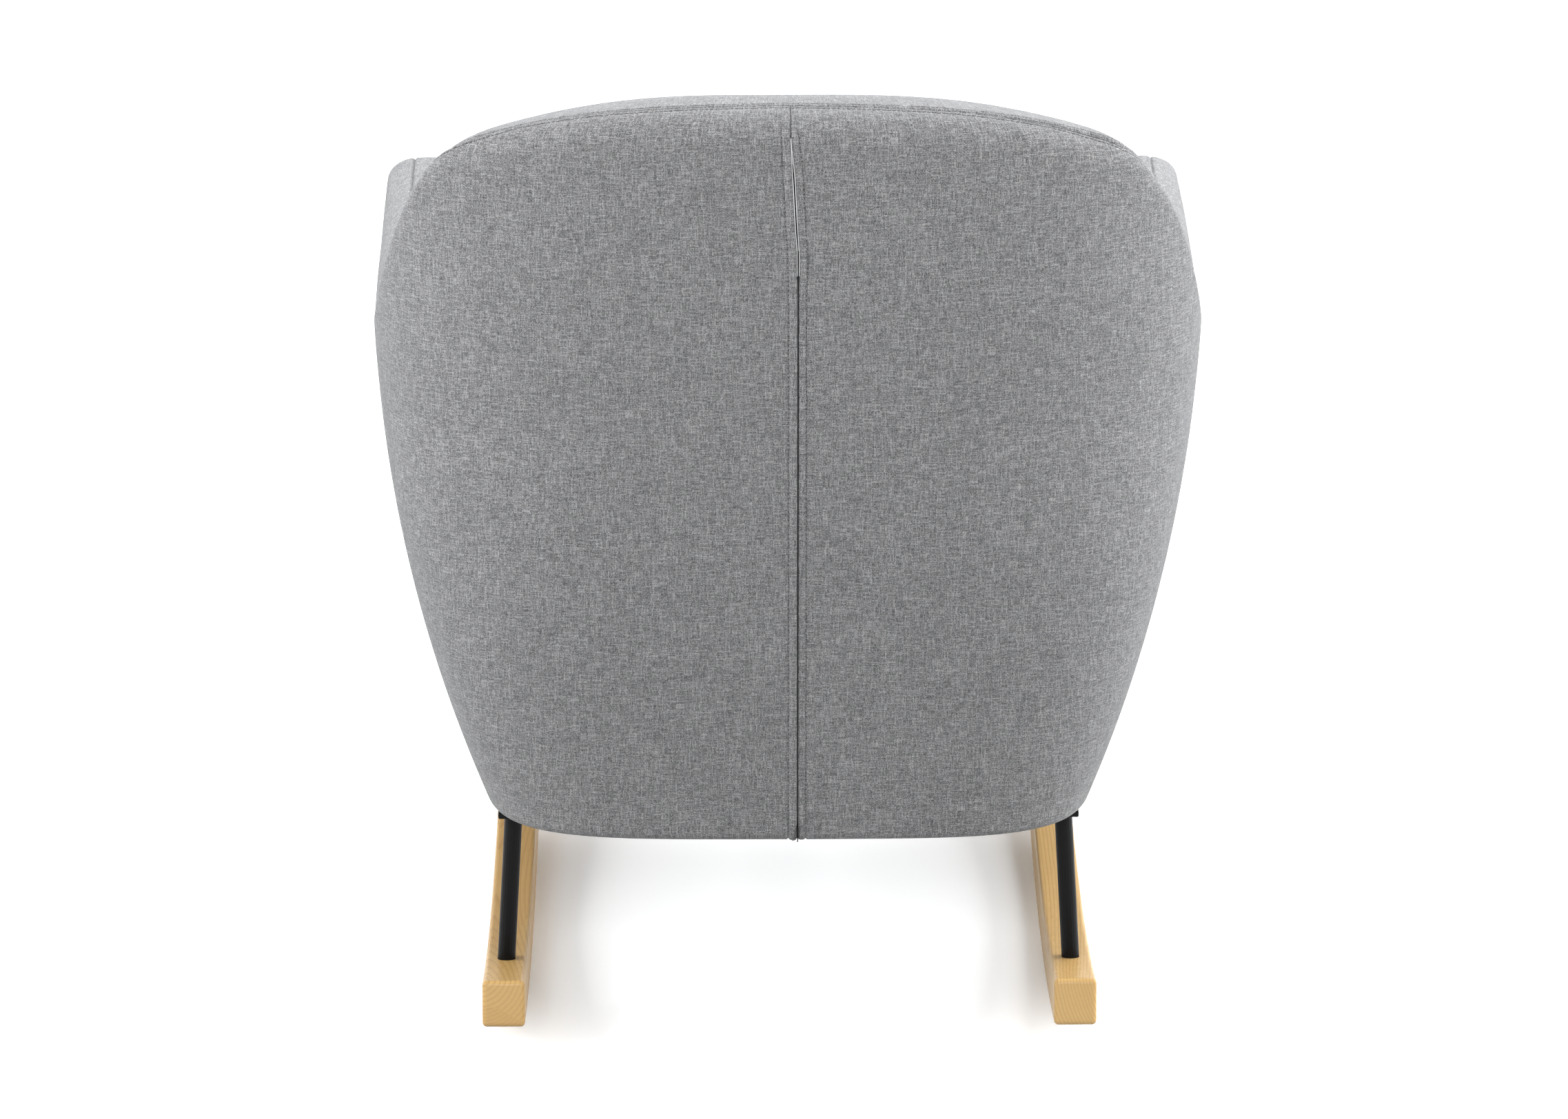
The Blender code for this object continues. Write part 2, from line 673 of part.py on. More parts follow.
def make_base():
    front = seat_front()
    cloth = plate("dust_cover", SHELL_BOTTOM, SHELL_BOTTOM + DUST_CLOTH, FRAME_OUT, front, lining())
    board = plate("base_board", BOARD_BOTTOM, BOARD_TOP, FRAME_OUT, front, plywood())
    low, high = BOARD_BOTTOM - CUT_REACH, BOARD_TOP + CUT_REACH
    flange_low = BOARD_TOP - NUT_FLANGE_HIGH - GAP
    board_cuts = []
    cloth_cuts = []
    for label, side in SIDES:
        for end, place in rail_bolt_places(side):
            tag = "cut_board_" + end + "_" + label
            barrel = upright_cutter(tag, place, NUT_BARREL / 2 + GAP, low, high)
            flange = upright_cutter(tag + "_top", place, NUT_FLANGE / 2 + GAP, flange_low, high)
            board_cuts += [barrel, flange]
            tag = "cut_cloth_" + end + "_" + label
            cloth_cuts.append(upright_cutter(tag, place, BOLT_DIAMETER / 2 + GAP, low, high))
    subtract(board, board_cuts)
    subtract(cloth, cloth_cuts)


def seat_box():
    """Inside faces of the space that the seat box fills: half width, front and rear."""
    side = half_width(FRAME_BOTTOM) - WALL - 2 * GAP
    rear = shell_point(0.0, FRAME_BOTTOM, WALL).y - SEAT_REAR_CLEAR
    return side, seat_front(), rear


def make_seat_box():
    side, front, rear = seat_box()
    thick = SEAT_RAIL_THICK
    low, high = FRAME_BOTTOM, SEAT_BOX_TOP
    reach = side - SEAT_CORNER
    box("seat_rail_front", (-side, front, low), (side, front + thick, high), plywood())
    box("seat_rail_rear", (-reach, rear - thick, low), (reach, rear, high), plywood())
    for label, sign in SIDES:
        x_low, x_high = sorted((sign * side, sign * (side - thick)))
        box("seat_rail_" + label, (x_low, front + thick + GAP, low),
            (x_high, rear - SEAT_CORNER, high), plywood())


def make_seat_straps():
    """Elastic webbing, front to back over the seat box, with its rear end turned down."""
    side, front, rear = seat_box()
    span = 2 * (side - STRAP_INSET)
    low = SEAT_BOX_TOP + GAP
    high = low + STRAP_THICK
    drop = low - STRAP_TURN_DOWN
    fold = rear + GAP
    profile = [(front, low), (fold, low), (fold, drop), (fold + STRAP_THICK, drop),
               (fold + STRAP_THICK, high), (front, high)]
    for i in range(STRAP_COUNT):
        x = -span / 2 + span * i / (STRAP_COUNT - 1)
        rings = [[Vector((x + dx, y, z)) for y, z in profile]
                 for dx in (-STRAP_WIDTH / 2, STRAP_WIDTH / 2)]
        loft("seat_strap_%d" % (i + 1), rings, webbing(), None)


def seat_outline(z, clear, front):
    """Outline inside the shell's inner cover at one height."""
    points = [shell_point(m, z, WALL + clear) for m in stations(-0.5, 0.5)]
    first, last = points[0], points[-1]
    return [Vector((first.x, front, z))] + points + [Vector((last.x, front, z))]


def make_deck():
    """Cloth stretched over the straps, flat on the seat box."""
    low = DECK_BOTTOM
    ring = seat_outline(low, DECK_CLEAR, seat_front())
    top = [Vector((p.x, p.y, low + CLOTH)) for p in ring]
    loft("seat_deck_cloth", [ring, top], lining(), None)


def make_cushion():
    """Loose seat cushion, crowned a little, filling the seat between the arms."""
    front = SHELL_FRONT + CUSHION_SETBACK
    rings = []
    for share, inset in CUSHION_SECTION:
        z = CUSHION_BOTTOM + CUSHION_THICK * share
        ring = seat_outline(z, CUSHION_CLEAR + inset, front + inset)
        narrow = half_width(CUSHION_BOTTOM) - WALL - CUSHION_CLEAR - inset
        squash = narrow / (half_width(z) - WALL - CUSHION_CLEAR - inset)
        rings.append([Vector((p.x * squash, p.y, z)) for p in ring])
    rear = min(max(p.y for p in ring) for ring in rings)
    for ring in rings:
        for p in ring:
            p.y = min(p.y, rear)
    cushion = loft("seat_cushion", rings, fabric(), 50)
    set_origin(cushion, Vector((0, (front + rear) / 2, CUSHION_BOTTOM)))


def make_outer_pads():
    half_bay = ZIP_BAY / 2
    low = SHELL_BOTTOM + GAP
    for label, side in SIDES:
        edge_x = ZIP_X + side * half_bay
        outer, inner = OUTER_PAD_IN, OUTER_PAD_IN + OUTER_PAD
        rings = [seam_edge_ring(edge_x, outer, inner, low, GAP)]
        rings += [wall_ring(m, outer, inner, low, GAP) for m in marks_beyond(edge_x, side)]
        loft("outer_pad_" + label, rings[::side], foam(), mirror_from=WALL_ROWS + 1)


def make_outer_cover():
    """Left and right back panels: from the slit in the back round to the arm fronts."""
    for label, side in SIDES:
        edge_x = ZIP_X + side * SLIT / 2
        rings = [seam_edge_ring(edge_x, 0.0, CLOTH, SHELL_BOTTOM, GAP)]
        rings += [wall_ring(m, 0.0, CLOTH, SHELL_BOTTOM, GAP) for m in marks_beyond(edge_x, side)]
        loft("back_panel_" + label, rings[::side], fabric(), mirror_from=WALL_ROWS + 1)


def make_inner_pad():
    low = FRAME_BOTTOM
    rings = [wall_ring(m, INNER_PAD_OUT, INNER_PAD_IN, low, GAP) for m in stations()]
    loft("inner_pad", rings, foam(), mirror_from=WALL_ROWS + 1)


def make_inner_cover():
    rings = [wall_ring(m, WALL - CLOTH, WALL, FRAME_BOTTOM, GAP) for m in stations()]
    loft("inner_cover", rings, fabric(), mirror_from=WALL_ROWS + 1)


def make_rim():
    """Foam along the rim and the fabric band over it."""
    rings = []
    for m in stations():
        base = rim_height(m) - RIM_ROUND
        seats = [shell_point(m, base, depth) for depth in (INNER_PAD_OUT, OUTER_PAD_IN + OUTER_PAD)]
        rings.append(rim_arch(m, OUTER_PAD_IN, RIM_STEPS) + seats)
    loft("rim_pad", rings, foam(), mirror_from=RIM_STEPS)
    rings = []
    for m in stations():
        over = rim_arch(m, 0.0, RIM_STEPS)
        under = rim_arch(m, CLOTH, RIM_STEPS)
        rings.append(over + list(reversed(under)))
    loft("rim_band", rings, fabric(), mirror_from=RIM_STEPS + 1)


def arm_section(inset, low):
    """Outline of the wall's section at the front of an arm."""
    top = rim_height(1.0) - RIM_ROUND
    heights = [low + (top - low) * i / 6 for i in range(7)]
    outside = [shell_point(1.0, z, inset) for z in heights[:-1]]
    inside = [shell_point(1.0, z, WALL - inset) for z in reversed(heights[:-1])]
    return outside + rim_arch(1.0, inset, RIM_STEPS) + inside


def make_arm_fronts():
    """Fabric panel that closes the front of each arm."""
    outline = arm_section(0.0, SHELL_BOTTOM)
    for label, side in SIDES:
        rings = []
        for y in (SHELL_FRONT - GAP, SHELL_FRONT - GAP - CLOTH):
            rings.append([Vector((side * p.x, y, p.z)) for p in outline])
        loft("arm_front_" + label, rings, fabric(), None)


def apron_ring(y, low, high):
    """Upright outline that fills the seat's front between the arms."""
    narrow = half_width(low) - WALL - 2 * GAP
    wide = half_width(high) - WALL - 2 * GAP
    return [Vector((-narrow, y, low)), Vector((narrow, y, low)),
            Vector((wide, y, high)), Vector((-wide, y, high))]


def make_apron():
    """Padding and cover across the front of the seat, between the arms."""
    high = DECK_BOTTOM - GAP
    near = SHELL_FRONT + CLOTH + GAP
    rings = [apron_ring(y, SHELL_BOTTOM + GAP, high) for y in (near, near + APRON_PAD)]
    loft("apron_pad", rings, foam(), None)
    rings = [apron_ring(y, SHELL_BOTTOM, high) for y in (SHELL_FRONT, SHELL_FRONT + CLOTH)]
    loft("apron_cover", rings, fabric(), None)


# Steel frame --------------------------------------------------------------------------------
def frame_depth():
    return (FRAME_OUT + FRAME_IN) / 2


def hoop_top(mark):
    """Height of the hoop's axis: clear of the rim foam, also where the rim falls steeply."""
    step = 0.01
    here = shell_point(mark, WIDEST_HEIGHT, frame_depth())
    there = shell_point(mark + step, WIDEST_HEIGHT, frame_depth())
    fall = (rim_height(mark) - rim_height(mark + step)) / (there - here).length
    reach = (HOOP_DIAMETER / 2 + HOOP_CLEAR) * math.sqrt(1 + fall ** 2)
    return rim_height(mark) - RIM_ROUND - reach


def make_back_hoop():
    """Bent bar: up one rear corner, across under the rim and down the other corner."""
    foot = HOOP_FOOT
    low = FRAME_BOTTOM + HOOP_DIAMETER / 2
    depth = frame_depth()
    top = hoop_top(foot)
    levels = [low + (top - low) * i / HOOP_RISE_STEPS for i in range(HOOP_RISE_STEPS)]
    points = [shell_point(-foot, z, depth) for z in levels]
    for i in range(HOOP_TOP_STEPS + 1):
        mark = -foot + 2 * foot * i / HOOP_TOP_STEPS
        points.append(shell_point(mark, hoop_top(mark), depth))
    points += [shell_point(foot, z, depth) for z in reversed(levels)]
    tube_along("back_hoop", points, HOOP_DIAMETER, bare_steel())


def make_arm_hoops():
    """Bent bar in each arm: up at the front, then back along the arm to the back hoop."""
    depth = frame_depth()
    low = FRAME_BOTTOM + HOOP_DIAMETER / 2
    top = ARM_HEIGHT - ARM_DROP - RIM_ROUND - HOOP_DIAMETER / 2 - HOOP_CLEAR
    levels = [low + (top - low) * i / ARM_RISE_STEPS for i in range(ARM_RISE_STEPS)]
    run = ARM_HOOP_REAR - ARM_HOOP_FRONT
    marks = [ARM_HOOP_FRONT + run * i / ARM_TOP_STEPS for i in range(ARM_TOP_STEPS + 1)]
    for label, side in SIDES:
        points = [shell_point(side * ARM_HOOP_FRONT, z, depth) for z in levels]
        points += [shell_point(side * mark, top, depth) for mark in marks]
        tube_along("arm_hoop_" + label, points, HOOP_DIAMETER, bare_steel())


def make_back_straps():
    """Webbing across the back, in front of the hoop."""
    outer = frame_depth() + HOOP_DIAMETER / 2 + GAP
    inner = outer + BACK_STRAP_THICK
    spread = HOOP_FOOT + STRAP_SPREAD
    for i in range(BACK_STRAPS):
        middle = blend(BACK_STRAP_LOW, BACK_STRAP_HIGH, i / (BACK_STRAPS - 1))
        low, high = middle - STRAP_WIDTH / 2, middle + STRAP_WIDTH / 2
        rings = [[shell_point(mark, low, outer), shell_point(mark, high, outer),
                  shell_point(mark, high, inner), shell_point(mark, low, inner)]
                 for mark in stations(-spread, spread)]
        loft("back_strap_%d" % (i + 1), rings, webbing())


# Zip ----------------------------------------------------------------------------------------
def zip_frame():
    """Foot of the zip line, and the zip's directions: up along it and outwards.

    The line joins the points where the back's surface passes the zip's two ends.
    """
    rise = ZIP_START + ZIP_LENGTH
    low = rear_y(SHELL_BOTTOM)
    high = rear_y(SHELL_BOTTOM + rise)
    up = Vector((0, high - low, rise)).normalized()
    out = Vector((0, up.z, -up.y))
    return Vector((ZIP_X, low, SHELL_BOTTOM)), up, out


def zip_bar(name, outline, start, end, look):
    """Straight bar along the zip line; its outline is (x, depth in from that line) pairs."""
    foot, up, out = zip_frame()
    rings = []
    for along in (start, end):
        base = foot + up * along
        rings.append([base + Vector((x, 0, 0)) - out * depth for x, depth in outline])
    return loft(name, rings, look, None)


def oblong(x_low, x_high, depth_low, depth_high):
    return ((x_low, depth_low), (x_high, depth_low), (x_high, depth_high), (x_low, depth_high))


def make_zip():
    """Tapes side by side, the chain on them and the slider; the zip closes downwards."""
    tape_front = ZIP_DEPTH - ZIP_TAPE_THICK
    chain_back = tape_front - GAP
    chain_front = chain_back - ZIP_CHAIN_THICK
    start = ZIP_START
    for label, side in SIDES:
        x_low, x_high = sorted((side * GAP, side * (GAP + ZIP_TAPE_WIDTH)))
        tape = oblong(x_low, x_high, tape_front, ZIP_DEPTH)
        zip_bar("zip_tape_" + label, tape, start, start + ZIP_LENGTH, zip_cloth())
    half = ZIP_CHAIN_WIDTH / 2
    chain = oblong(-half, half, chain_front, chain_back)
    zip_bar("zip_chain", chain, start, start + CHAIN_LENGTH, zip_cloth())
    make_slider(chain_front)


def make_slider(chain_front):
    """Slider body astride the chain, and the pull that stands out through the slit."""
    foot, up, out = zip_frame()
    start = SLIDER_START
    origin = foot + up * start
    face = chain_front - SLIDER_FACE
    flange = chain_front + ZIP_CHAIN_THICK - GAP
    roof = chain_front - GAP
    half = SLIDER_WIDTH / 2
    groove = ZIP_CHAIN_WIDTH / 2 + GAP
    outline = ((-half, face), (half, face), (half, flange), (groove, flange),
               (groove, roof), (-groove, roof), (-groove, flange), (-half, flange))
    slider = zip_bar("zip_slider", outline, start, start + SLIDER_LENGTH, black_steel())
    pull = oblong(-PULL_THICK / 2, PULL_THICK / 2, -PULL_OUT, face - GAP)
    low = start - PULL_HANG
    tab = zip_bar("zip_pull", pull, low, low + PULL_LENGTH, black_steel())
    for made in (slider, tab):
        set_origin(made, origin)


def build():
    clear_scene()
    for label, side in SIDES:
        make_rocker(label, side)
        for end, end_y in (("rear", REAR_LEG_Y), ("front", FRONT_LEG_Y)):
            make_leg(label, side, end, end_y)
            make_leg_fixing(label, side, end, end_y)
        make_rail(label, side)
        make_rail_fixing(label, side)
    make_base()
    make_seat_box()
    make_seat_straps()
    make_deck()
    make_cushion()
    make_outer_pads()
    make_outer_cover()
    make_inner_pad()
    make_inner_cover()
    make_rim()
    make_arm_fronts()
    make_apron()
    make_back_hoop()
    make_arm_hoops()
    make_back_straps()
    make_zip()


build()
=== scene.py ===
"""Looks of the tub rocking chair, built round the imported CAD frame.

Metres, +Z up, the chair faces -Y. The upholstery follows the same outline rules as the CAD solids.
"""

import math

import bmesh
import bpy
import numpy as np
from mathutils import Matrix, Vector
from mathutils.bvhtree import BVHTree


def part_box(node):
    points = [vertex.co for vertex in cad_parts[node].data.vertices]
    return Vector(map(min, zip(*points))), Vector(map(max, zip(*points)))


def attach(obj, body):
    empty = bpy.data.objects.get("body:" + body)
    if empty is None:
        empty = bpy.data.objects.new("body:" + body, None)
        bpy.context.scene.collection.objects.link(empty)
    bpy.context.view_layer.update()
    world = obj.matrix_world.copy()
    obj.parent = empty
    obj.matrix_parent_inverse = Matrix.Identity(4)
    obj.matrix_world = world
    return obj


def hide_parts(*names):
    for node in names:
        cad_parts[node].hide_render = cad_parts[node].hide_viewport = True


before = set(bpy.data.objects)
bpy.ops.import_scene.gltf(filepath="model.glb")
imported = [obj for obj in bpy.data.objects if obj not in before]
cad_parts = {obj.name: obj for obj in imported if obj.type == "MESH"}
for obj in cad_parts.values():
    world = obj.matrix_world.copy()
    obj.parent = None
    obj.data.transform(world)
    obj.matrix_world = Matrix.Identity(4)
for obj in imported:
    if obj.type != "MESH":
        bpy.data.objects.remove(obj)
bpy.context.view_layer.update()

# Shape of the shell, as in the CAD
BACK_HEIGHT, ARM_HEIGHT, ARM_DROP = 0.889, 0.686, 0.050
SHELL_BOTTOM, SHELL_DEPTH, REAR_TOP = 0.205, 0.700, 0.410
SHELL_FRONT = REAR_TOP - SHELL_DEPTH
HALF_WIDTH, TAPER, TAPER_POWER, WIDEST, FLARE = 0.369, 0.098, 2.1, 0.700, 0.018
REAR_LEAN, REAR_BOW, DEPTH_LOW, DEPTH_HIGH = 0.030, 0.006, 0.190, 0.200
POWER_LOW, POWER_HIGH, CORNER_CHANGE = 4.4, 2.6, 1.3
CROWN, CROWN_POWER, SHOULDER_START, SHOULDER_END = 0.075, 3.2, 0.045, 0.180
WALL, LUMBAR, LUMBAR_POWER, LUMBAR_FROM, RIM_ROUND = 0.090, 0.060, 0.7, 0.0420, 0.034
RIM_POWER, BACK_RIM_POWER = 2.6, 3.0    # the stuffed rim is a little fuller than its CAD solid
DECK_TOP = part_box("seat_deck_cloth")[1].z

# Upholstery details
CLOTH = 0.0016
THREAD = 0.00060            # spacing of the cover's threads
THREAD_RUNS = 140.0         # lengths in which a thread keeps its shade, per metre
ROLL = 0.012                # rounding of the shell's front edges
HEM_ROLL = 0.008            # rounding of its bottom edge
TURN_UNDER = 0.0155         # cover turned under the bottom, in from its side
FRONT_STEPS = 9             # columns round a front edge
FRONT_ARC = 1.57            # distance round that edge, as a share of its reach
FRONT_DIP, FRONT_SOFT = 0.0018, 0.003
SEAM_DIP, SEAM_SOFT = 0.0019, 0.0013
ROW_OFFSET, ROW_DIP, ROW_SOFT = 0.0050, 0.0009, 0.0009
PUCKER_HIGH, PUCKER_PITCH, PUCKER_REACH = 0.00022, 0.013, 0.016
CALM = 0.05                 # the stuffing's unevenness dies out this close to a seam
HEM_ROW = {"left": 0.0068, "right": 0.0078}
HEM_STRIP = {"left": 0.0004, "right": 0.0012}   # rise of the cloth between slit and stitches
HEM_FINE = 0.026            # strip above the hem with finer rows
STITCH = (0.0043, 0.0032, 0.00062)      # pitch, length and radius of the topstitches
HEM_STITCH = (0.0042, 0.0016, 0.00036)
INNER_JOINT = 0.30          # seams of the inner cover, either side of the middle
# Where the rim seam runs, as a share of the turn over the rim, by outline position.
SEAM_MARKS = (0.0, 0.05, 0.12, 0.19, 0.235, 0.27, 0.33, 0.45, 0.60, 1.0)
SEAM_TURNS = (0.455, 0.43, 0.40, 0.355, 0.285, 0.25, 0.30, 0.385, 0.42, 0.42)
# Line and half width of the opening between the back panels, by height.
SLIT_HEIGHTS = (0.20, 0.765, 0.79, 0.83, 0.872, 0.90)
SLIT_LINE = (-0.0073, -0.0073, -0.0056, -0.0036, -0.0006, -0.0006)
GAPE_HEIGHTS = (0.20, 0.732, 0.754, 0.838, 0.862, 0.871, 0.90)
GAPE = (0.00052, 0.00052, 0.0014, 0.0014, 0.0006, 0.00012, 0.00012)
# Steps of a line under the hem, round it, up the wall, over the rim and down inside.
UNDER_STEPS, BEND_STEPS, WALL_STEPS, RIM_STEPS, INSIDE_STEPS = 5, 10, 110, 120, 90


def run_along(path):
    """Distance of each point along a path."""
    return np.concatenate([[0], np.cumsum(np.linalg.norm(np.diff(path, axis=0), axis=1))])


def unit(vectors):
    return vectors / np.maximum(np.linalg.norm(vectors, axis=-1, keepdims=True), 1e-12)


def share(z):
    return np.clip((z - SHELL_BOTTOM) / (WIDEST - SHELL_BOTTOM), 0, 1)


def half_width(z):
    return HALF_WIDTH - TAPER * (1 - share(z)) ** TAPER_POWER


def rear_y(z):
    up = (z - SHELL_BOTTOM) / (BACK_HEIGHT - SHELL_BOTTOM)
    return REAR_TOP - REAR_LEAN * (1 - up) + REAR_BOW * np.sin(np.pi * up)


def settle(z, low, high):
    return low + (high - low) * np.clip(share(z) * CORNER_CHANGE, 0, 1)


def shell(mark, z, inset):
    """Points of the shell at outline positions, heights and depths into its wall."""
    mark, z, inset = np.broadcast_arrays(*[np.asarray(v, float) for v in (mark, z, inset)])
    width = half_width(z) - inset
    depth = settle(z, DEPTH_LOW, DEPTH_HIGH)
    into = np.clip((inset - LUMBAR_FROM) / (WALL - LUMBAR_FROM), 0, 1)
    middle = rear_y(z) - depth - LUMBAR * (1 - share(z)) ** LUMBAR_POWER * into
    turn = np.pi * np.clip(mark, -0.5, 0.5)
    power = 2 / settle(z, POWER_LOW, POWER_HIGH)
    back_x = np.sign(mark) * np.abs(np.sin(turn)) ** power * width
    back_y = middle + np.abs(np.cos(turn)) ** power * (depth - inset)
    along = np.clip((np.abs(mark) - 0.5) / 0.5, 0, None)
    side_x = np.sign(mark) * (width + FLARE * along * share(z) ** 2)
    side_y = middle + (SHELL_FRONT - middle) * along
    side = np.abs(mark) > 0.5
    return np.stack([np.where(side, side_x, back_x), np.where(side, side_y, back_y), z], -1)


def rim_height(mark):
    at = shell(mark, WIDEST, 0.0)
    behind = rear_y(WIDEST) - at[..., 1]
    arm = ARM_HEIGHT - ARM_DROP * np.clip(behind / SHELL_DEPTH, 0, 1)
    reach = np.minimum(np.abs(at[..., 0]) / HALF_WIDTH, 1)
    run = np.clip((behind - SHOULDER_START) / (SHOULDER_END - SHOULDER_START), 0, 1)
    back = BACK_HEIGHT - CROWN * reach ** CROWN_POWER
    return back + (arm - back) * 0.5 * (1 - np.cos(np.pi * run))


def rim_power(mark):
    up = np.clip((rim_height(mark) - ARM_HEIGHT) / (BACK_HEIGHT - ARM_HEIGHT), 0, 1)
    return RIM_POWER + (BACK_RIM_POWER - RIM_POWER) * up


# Outline positions by real distance round the shell, at a ladder of heights.
TABLE_Z = np.linspace(SHELL_BOTTOM, WIDEST, 45)
TABLE_STEPS = 500


def outline_table():
    q = np.linspace(0, 1, 1500)
    marks = np.concatenate([0.5 * q ** 2.4, 0.5 + 0.5 * q[1:]])
    wanted = np.linspace(0, 1, TABLE_STEPS + 1) ** 2
    found, lengths = [], []
    for z in TABLE_Z:
        at = shell(marks, z, 0.0)
        run = run_along(at)
        lengths.append(run[-1])
        found.append(np.interp(wanted * run[-1], run, marks))
    return np.array(found), np.array(lengths)


TABLE, LENGTHS = outline_table()


def girth(z):
    """Half the distance round the shell, from the middle of the back to an arm's front."""
    return np.interp(z, TABLE_Z, LENGTHS)


def mark_at(away, z):
    """Outline position at a signed distance round the shell from the middle of the back."""
    away, z = np.broadcast_arrays(np.asarray(away, float), np.asarray(z, float))
    part = np.clip(np.abs(away) / girth(z), 0, 1)
    col = np.sqrt(part) * TABLE_STEPS
    row = np.clip((z - TABLE_Z[0]) / (TABLE_Z[1] - TABLE_Z[0]), 0, len(TABLE_Z) - 1)
    c0 = np.clip(col.astype(int), 0, TABLE_STEPS - 1)
    r0 = np.clip(row.astype(int), 0, len(TABLE_Z) - 2)
    # Between table columns the position runs with the distance, which is the column squared.
    cf = np.clip((col ** 2 - c0 ** 2) / (2 * c0 + 1.0), 0, 1)
    rf = row - r0
    low = TABLE[r0, c0] * (1 - cf) + TABLE[r0, c0 + 1] * cf
    high = TABLE[r0 + 1, c0] * (1 - cf) + TABLE[r0 + 1, c0 + 1] * cf
    return np.sign(away) * (low * (1 - rf) + high * rf)


class Section:
    """Lines over the shell's wall, one for each column: under the hem, up, over the rim, down inside.

    away(z) gives each column's signed distance round the shell at a height; shrink draws a
    column's line in on itself, which rounds the shell's front edges.
    """

    def __init__(self, away, shrink, inside_low):
        shrink = np.asarray(shrink, float)[:, None]
        count = len(shrink)
        here = mark_at(away(np.full((count, 1), WIDEST)), WIDEST)
        base = rim_height(here) - RIM_ROUND
        low = SHELL_BOTTOM + shrink
        under = np.linspace(0, 1, UNDER_STEPS)[None, :-1]
        bend = np.linspace(0, 0.5 * np.pi, BEND_STEPS)[None, :-1]
        wall = np.linspace(0, 1, WALL_STEPS)[None, :-1]
        turns = np.linspace(0, 1, RIM_STEPS)[None, :]
        down = np.linspace(0, 1, INSIDE_STEPS)[None, 1:]
        one = np.ones((count, 1))
        power = 2 / rim_power(here)
        angle = np.pi * turns
        across = np.sign(np.cos(angle)) * np.abs(np.cos(angle)) ** power
        rise = np.abs(np.sin(angle)) ** power * np.maximum(RIM_ROUND - shrink, 0.0)
        half = np.maximum(WALL / 2 - shrink, 0.0)
        insets = [(TURN_UNDER + (HEM_ROLL - TURN_UNDER) * under) * one + shrink,
                  HEM_ROLL * (1 - np.sin(bend)) * one + shrink,
                  shrink * np.ones_like(wall), WALL / 2 - half * across,
                  (WALL - shrink) * np.ones_like(down)]
        heights = [low * np.ones_like(under), low + HEM_ROLL * (1 - np.cos(bend)) * one,
                   low + HEM_ROLL + (base - low - HEM_ROLL) * wall, base + rise,
                   base + (inside_low - base) * down]
        z = np.concatenate(heights, 1)
        inset = np.concatenate(insets, 1)
        self.points = shell(mark_at(away(z), z), z, inset)
        steps = np.linalg.norm(np.diff(self.points, axis=1), axis=2)
        self.run = np.concatenate([np.zeros((count, 1)), np.cumsum(steps, 1)], 1)
        first = sum(h.shape[1] for h in heights[:3])
        over = self.run[:, first:first + turns.shape[1]]
        seam = np.interp(np.abs(here[:, 0]), SEAM_MARKS, SEAM_TURNS)
        # Topstitching runs over the back only, and fades where the sides begin.
        self.rows = np.clip((0.50 - np.abs(here)) / 0.08, 0, 1)
        self.seam = np.array([np.interp(s, turns[0], o) for s, o in zip(seam, over)])
        self.inner_seam = over[:, -1]
        self.end = self.run[:, -1]

    def at(self, wanted):
        """Points at distances along each column's line; wanted has one row for each column."""
        made = np.empty(wanted.shape + (3,))
        for i, row in enumerate(wanted):
            for k in range(3):
                made[i, :, k] = np.interp(row, self.run[i], self.points[i, :, k])
        return made


# Mesh helpers
def surface_normals(grid, out_hint):
    """Unit normals of a grid of points; out_hint(points) gives rough outward directions."""
    normal = unit(np.cross(np.gradient(grid, axis=0), np.gradient(grid, axis=1)))
    hint = np.sum(normal * out_hint(grid), -1)
    return normal * (1 if np.median(hint) > 0 else -1)


def add_object(name, verts, faces, look, smooth, weave=None):
    mesh = bpy.data.meshes.new(name)
    mesh.from_pydata([tuple(v) for v in verts], [], [tuple(int(i) for i in f) for f in faces])
    if weave is not None:
        spot = mesh.attributes.new("weave", "FLOAT_VECTOR", "POINT")
        spot.data.foreach_set("vector", np.asarray(weave, np.float32).ravel())
    work = bmesh.new()
    work.from_mesh(mesh)
    bmesh.ops.remove_doubles(work, verts=work.verts, dist=1e-6)
    bmesh.ops.recalc_face_normals(work, faces=work.faces)
    work.to_mesh(mesh)
    work.free()
    mesh.shade_smooth()
    mesh.set_sharp_from_angle(angle=math.radians(smooth))
    mesh.materials.append(look)
    made = bpy.data.objects.new(name, mesh)
    bpy.context.scene.collection.objects.link(made)
    return made


def grid_faces(rows, cols, start=0, wrap=False):
    r, c = np.meshgrid(np.arange(rows - 1), np.arange(cols if wrap else cols - 1), indexing="ij")
    d = (c + 1) % cols
    quads = np.stack([r * cols + c, r * cols + d, (r + 1) * cols + d, (r + 1) * cols + c], -1)
    return quads.reshape(-1, 4) + start


def closed_sheet(name, grid, normals, thick, weave, look, wrap=False):
    """Thin closed solid under a grid of points."""
    rows, cols = grid.shape[:2]
    under = grid - normals * thick
    verts = np.concatenate([grid.reshape(-1, 3), under.reshape(-1, 3)])
    faces = [grid_faces(rows, cols, 0, wrap), grid_faces(rows, cols, rows * cols, wrap)[:, ::-1]]
    lines = [(np.arange(cols), wrap), ((rows - 1) * cols + np.arange(cols), wrap)]
    if not wrap:
        lines += [(np.arange(rows) * cols, False), (np.arange(rows) * cols + cols - 1, False)]
    for line, ring in lines:
        nxt = np.roll(line, -1)
        if not ring:
            line, nxt = line[:-1], nxt[:-1]
        low = rows * cols
        faces.append(np.stack([line, nxt, nxt + low, line + low], -1))
    flat = weave.reshape(-1, 3)
    return add_object(name, verts, np.concatenate(faces), look, 40, np.concatenate([flat, flat]))


